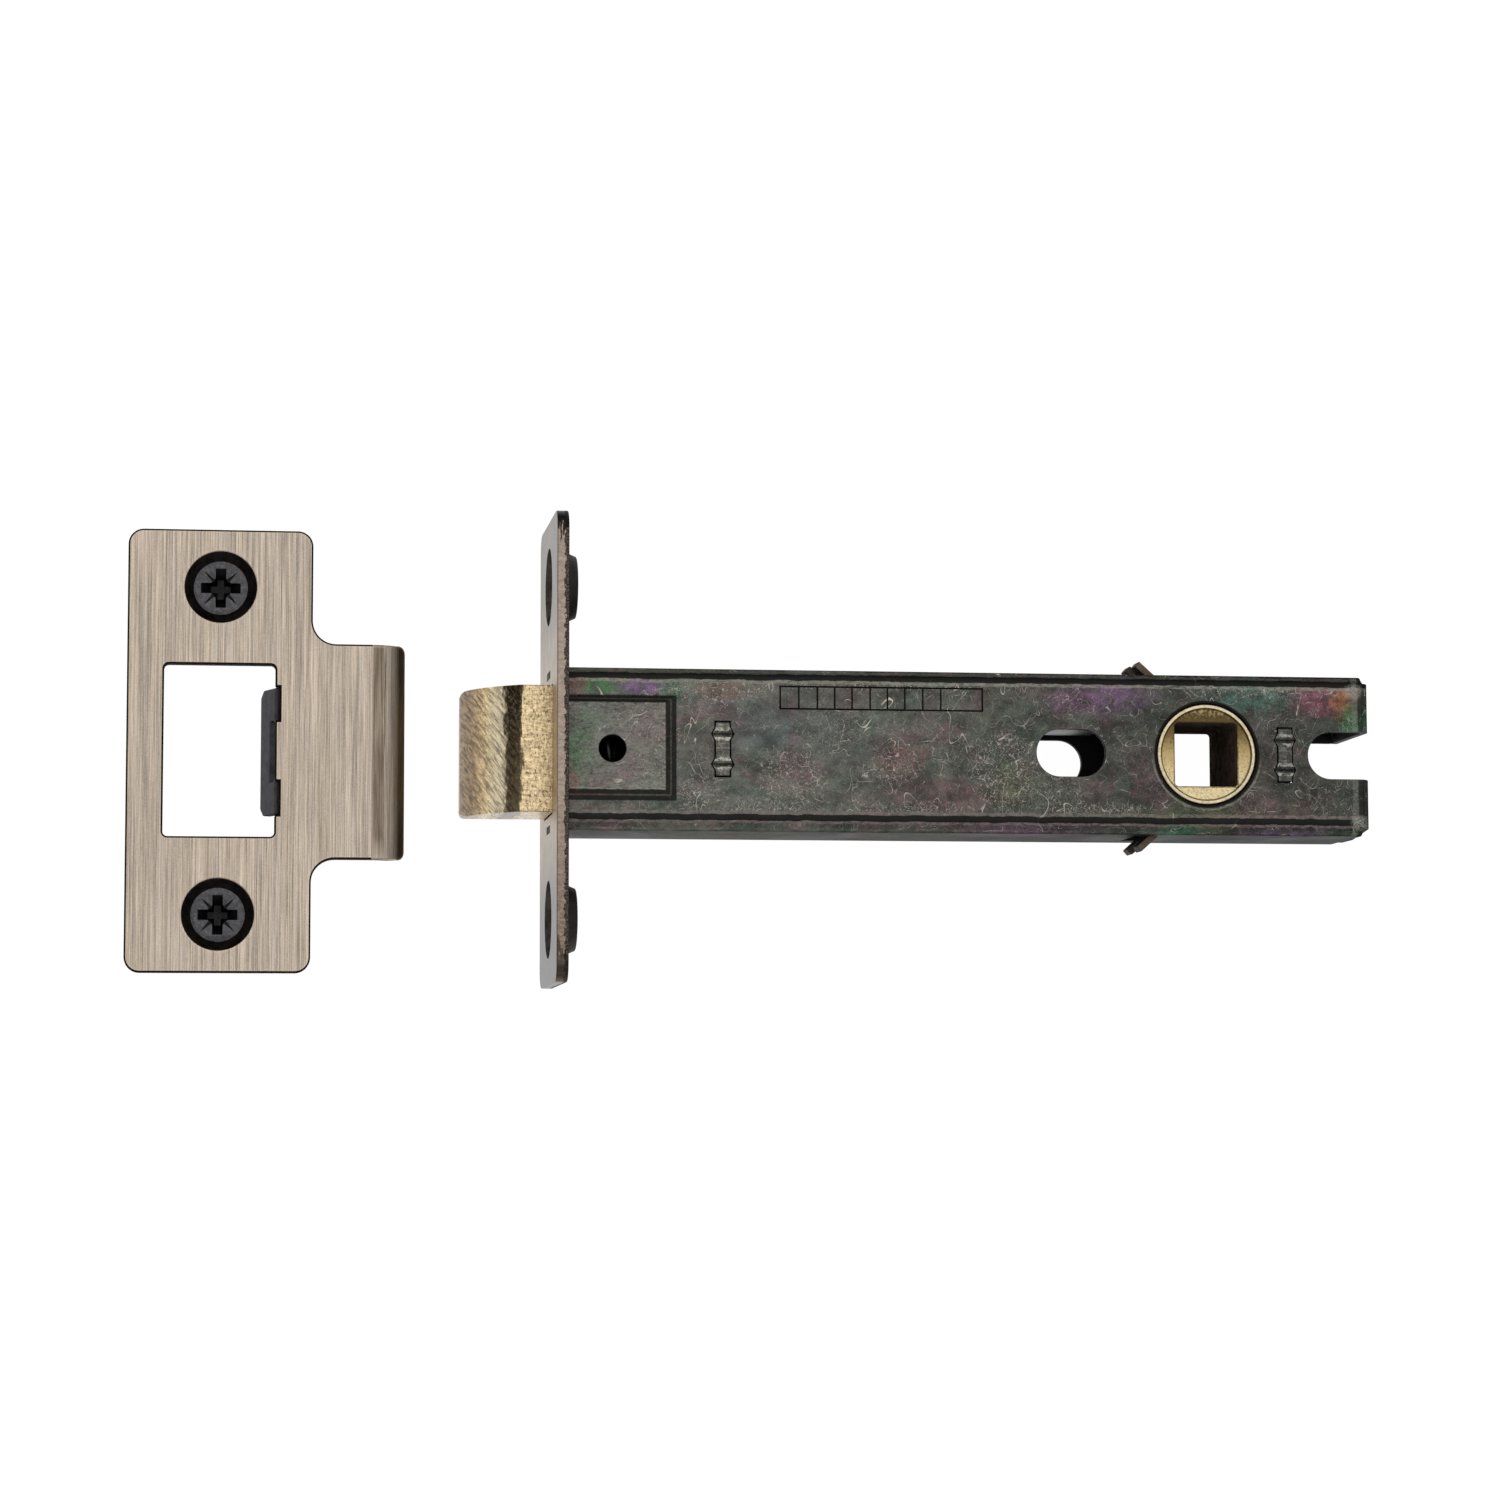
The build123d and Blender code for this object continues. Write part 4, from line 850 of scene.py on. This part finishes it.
def forend_face(place, normal):
    if normal.x < -0.9 and place.x < 0.3:
        return 0
    if place.x < 1.45 and abs(normal.x) < 0.75 and (abs(place.z) > 9.5 or abs(place.y) > 26.5):
        return 1
    reach = min(math.hypot(place.z, place.y - y) for y in (FOREND_SCREW_Y, -FOREND_SCREW_Y))
    if reach < COUNTERSINK_REACH and normal.x < 0.3:
        return 3
    return 4 if place.x > FOREND_BACK_X else 2


def case_face(place, normal):
    inside = abs(place.z) < 6.85 and abs(place.y) < 9.4 and place.x < 103.6
    if inside:
        return 1
    if abs(place.y) > 9.9 and BARB_X[0] < place.x < BARB_X[1]:
        return 2 if normal.z > 0.6 else (1 if abs(place.y) > 10.25 else 0)
    on_top = place.z > 6.7 and abs(place.y) < 7.0 and place.x > 4.0
    if on_top and abs(normal.z) < 0.35:
        return 1
    if on_top and 0.35 <= normal.z < 0.93 and place.z > 7.5 and place.x > 5.0:
        hole = math.hypot(place.x - SIGHT_X, place.y) < 2.2
        slot = abs(place.y) < HOLE_HALF_Y and SLOT_X[0] < place.x < SLOT_X[1]
        notch = abs(place.y) < HOLE_HALF_Y and place.x > NOTCH_X
        if hole or slot or notch:
            return 3
    return 0


def bolt_face(place, normal):
    pocket = place.x > POCKET_X and math.hypot(place.y, place.z) < POCKET_REACH
    sight = place.x > 5.0 and abs(place.y) < 1.8 and abs(place.z) < 5.95
    return 1 if pocket or sight or normal.x > 0.5 else 0


def follower_face(place, normal):
    return 1 if abs(normal.z) < 0.6 and max(abs(place.x - SPINDLE_X), abs(place.y)) < SQUARE_REACH else 0


case_mesh = nodes["case_body"].data.copy()
bevelled(case_mesh, 0.10, 12.0)
# The cells' outlines are cut as grooves: half their width, and the levels between which they are cut
line_half = 0.11
line_low, line_high = 7.48, 7.80
lines = [
    ((x - line_half, CELLS_Y[0] - line_half, line_low), (x + line_half, CELLS_Y[1] + line_half, line_high))
    for x in CELL_LINES
]
case_mesh = cut(case_mesh, boxes_mesh("stamp_across", lines))
lines = [
    ((CELLS_X[0] - line_half, y - line_half, line_low), (CELLS_X[1] + line_half, y + line_half, line_high))
    for y in CELLS_Y
]
case_mesh = cut(case_mesh, boxes_mesh("stamp_along", lines))
finished(
    "case_body_dressed", case_mesh, [case_metal, inside_metal, sheared_metal, rim_metal],
    case_face, "case", "case_body",
)
dressed("case_cover", 0.06, [case_metal, inside_metal], lambda c, n: 1 if n.z > 0.5 else 0, sharp=12.0)
dressed("strike_plate", 0.22, [brass_top, brass_dark, brass_tang], strike_face)
dressed("forend_plate", 0.12, [brass_flat, edge_metal, brass_dark, cone_metal, dimple_metal], forend_face)
bolt_mesh = nodes["latch_bolt"].data.copy()
bevelled(bolt_mesh, 0.16, 32.0)
# A dark blank, painted shade, closes the bolt's far side behind the sight hole
form = bmesh.new()
form.from_mesh(bolt_mesh)
form.from_mesh(boxes_mesh("blank", [((5.6, -1.72, -5.9), (9.5, 1.72, -4.9))]))
form.to_mesh(bolt_mesh)
form.free()
finished("latch_bolt_dressed", bolt_mesh, [bolt_metal, bolt_inside], bolt_face, "bolt", "latch_bolt")
dressed("follower", 0.07, [hub_metal, hub_inside], follower_face, body="follower")
dressed("front_bridge", 0.10, [tenon_metal], sharp=20.0)
dressed("rear_bridge", 0.10, [tenon_rear_metal], sharp=20.0)

# Screws: the head from the CAD, and a threaded shank inside the plain one
HEAD_RADIUS = 3.375
SHANK_RADIUS = 1.75
THREAD_CLEARANCE = 0.02
CORE_RADIUS = 1.28
THREAD_PITCH = 1.6
THREAD_TOP = -4.2
THREAD_END = -18.95
TIP_START = -15.2
TIP_RADIUS = 0.33


def thread_radius(depth, angle):
    """How far the shank's surface is from its axis at a depth below the head's top."""
    share = (depth / THREAD_PITCH - angle / (2 * math.pi)) % 1.0
    crest = max(0.0, 1.0 - abs(share - 0.5) / 0.26)
    start = min(1.0, max(0.0, (THREAD_TOP - depth) / 1.2))
    radius = CORE_RADIUS + (SHANK_RADIUS - THREAD_CLEARANCE - CORE_RADIUS) * crest * start
    if depth > THREAD_TOP:
        radius = CORE_RADIUS
    if depth < TIP_START:
        along = (TIP_START - depth) / (TIP_START - THREAD_END)
        radius *= 1.0 - along * (1.0 - TIP_RADIUS / SHANK_RADIUS)
    return radius


screw_mesh = nodes["strike_screws"].data.copy()
bevelled(screw_mesh, 0.05, 32.0)
form = bmesh.new()
form.from_mesh(screw_mesh)
neck = SCREW_Z - (HEAD_RADIUS - 0.02 - SHANK_RADIUS)
shank = [f for f in form.faces if f.calc_center_median().z / MM < neck - 0.35]
bmesh.ops.delete(form, geom=shank, context="FACES")
AROUND = 28
ROWS = 150
THREAD_START = -2.0
for centre_y in SCREW_Y:
    rings = []
    for row in range(ROWS + 1):
        depth = THREAD_START + (THREAD_END - THREAD_START) * row / ROWS
        ring = []
        for k in range(AROUND):
            angle = 2 * math.pi * k / AROUND
            radius = thread_radius(depth, angle)
            ring.append(form.verts.new(Vector((
                STRIKE_X + radius * math.cos(angle), centre_y + radius * math.sin(angle), SCREW_Z + depth,
            )) * MM))
        rings.append(ring)
    for upper, lower in zip(rings, rings[1:]):
        for k in range(AROUND):
            after = (k + 1) % AROUND
            form.faces.new((upper[k], lower[k], lower[after], upper[after]))
    form.faces.new(rings[-1][::-1])
    form.faces.new(rings[0])
bmesh.ops.recalc_face_normals(form, faces=form.faces)
form.to_mesh(screw_mesh)
form.free()


def screw_face(place, normal):
    reach = min(math.hypot(place.x - STRIKE_X, place.y - y) for y in SCREW_Y)
    deep = place.z < SCREW_Z - 0.12
    return 1 if deep and place.z > SCREW_Z - 2.1 and (reach < 2.55 and normal.z > -0.4) else 0


finished(
    "strike_screws_dressed", screw_mesh, [screw_metal, screw_recess], screw_face, "case", "strike_screws",
    weighted=False,
)

for node, material in (
    ("draw_bar_upper", bar_metal), ("draw_bar_lower", bar_metal), ("return_slide", slide_metal),
    ("return_rod", wire_metal),
):
    nodes[node].data.materials.clear()
    nodes[node].data.materials.append(material)

# Springs: each CAD spring copied in spring wire, on the case's body
for node, joint, seat, keep in (
    ("bolt_spring", "bolt_slide", 0.02025, 0.55), ("return_spring", "fork_slide", 0.02205, 0.89),
):
    spring_mesh = nodes[node].data.copy()
    spring = finished(node + "_wound", spring_mesh, [wire_metal], None, "case", node, weighted=False)
    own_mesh(spring)

# Floor: pale, shown white to the camera and in reflections, with the latch's soft shadow
floor_mesh = bpy.data.meshes.new("floor")
FLOOR_REACH = 3.0
level = cad_box[0][2] - 0.00005
floor_mesh.from_pydata(
    [(FLOOR_REACH * x, FLOOR_REACH * y, level) for x, y in ((-1, -1), (1, -1), (1, 1), (-1, 1))],
    [], [(0, 1, 2, 3)],
)
floor = link(bpy.data.objects.new("floor", floor_mesh))
fp = Paint("floor_paper")
fp_diffuse = fp.add("ShaderNodeBsdfDiffuse")
fp_diffuse.inputs["Color"].default_value = (0.80, 0.80, 0.80, 1)
fp_glow = fp.add("ShaderNodeEmission")
fp_glow.inputs["Strength"].default_value = 1.13
fp_path = fp.add("ShaderNodeLightPath")
seen = fp.most(
    fp_path.outputs["Is Camera Ray"], fp_path.outputs["Is Glossy Ray"],
    fp_path.outputs["Is Transmission Ray"],
)
fp_mix = fp.add("ShaderNodeMixShader")
fp.join(fp_mix.inputs[0], fp.math("MULTIPLY", seen, 0.86))
fp_out = fp.add("ShaderNodeOutputMaterial")
fp.tree.links.new(fp_diffuse.outputs[0], fp_mix.inputs[1])
fp.tree.links.new(fp_glow.outputs[0], fp_mix.inputs[2])
fp.tree.links.new(fp_mix.outputs[0], fp_out.inputs["Surface"])
floor_mesh.materials.append(fp.material)
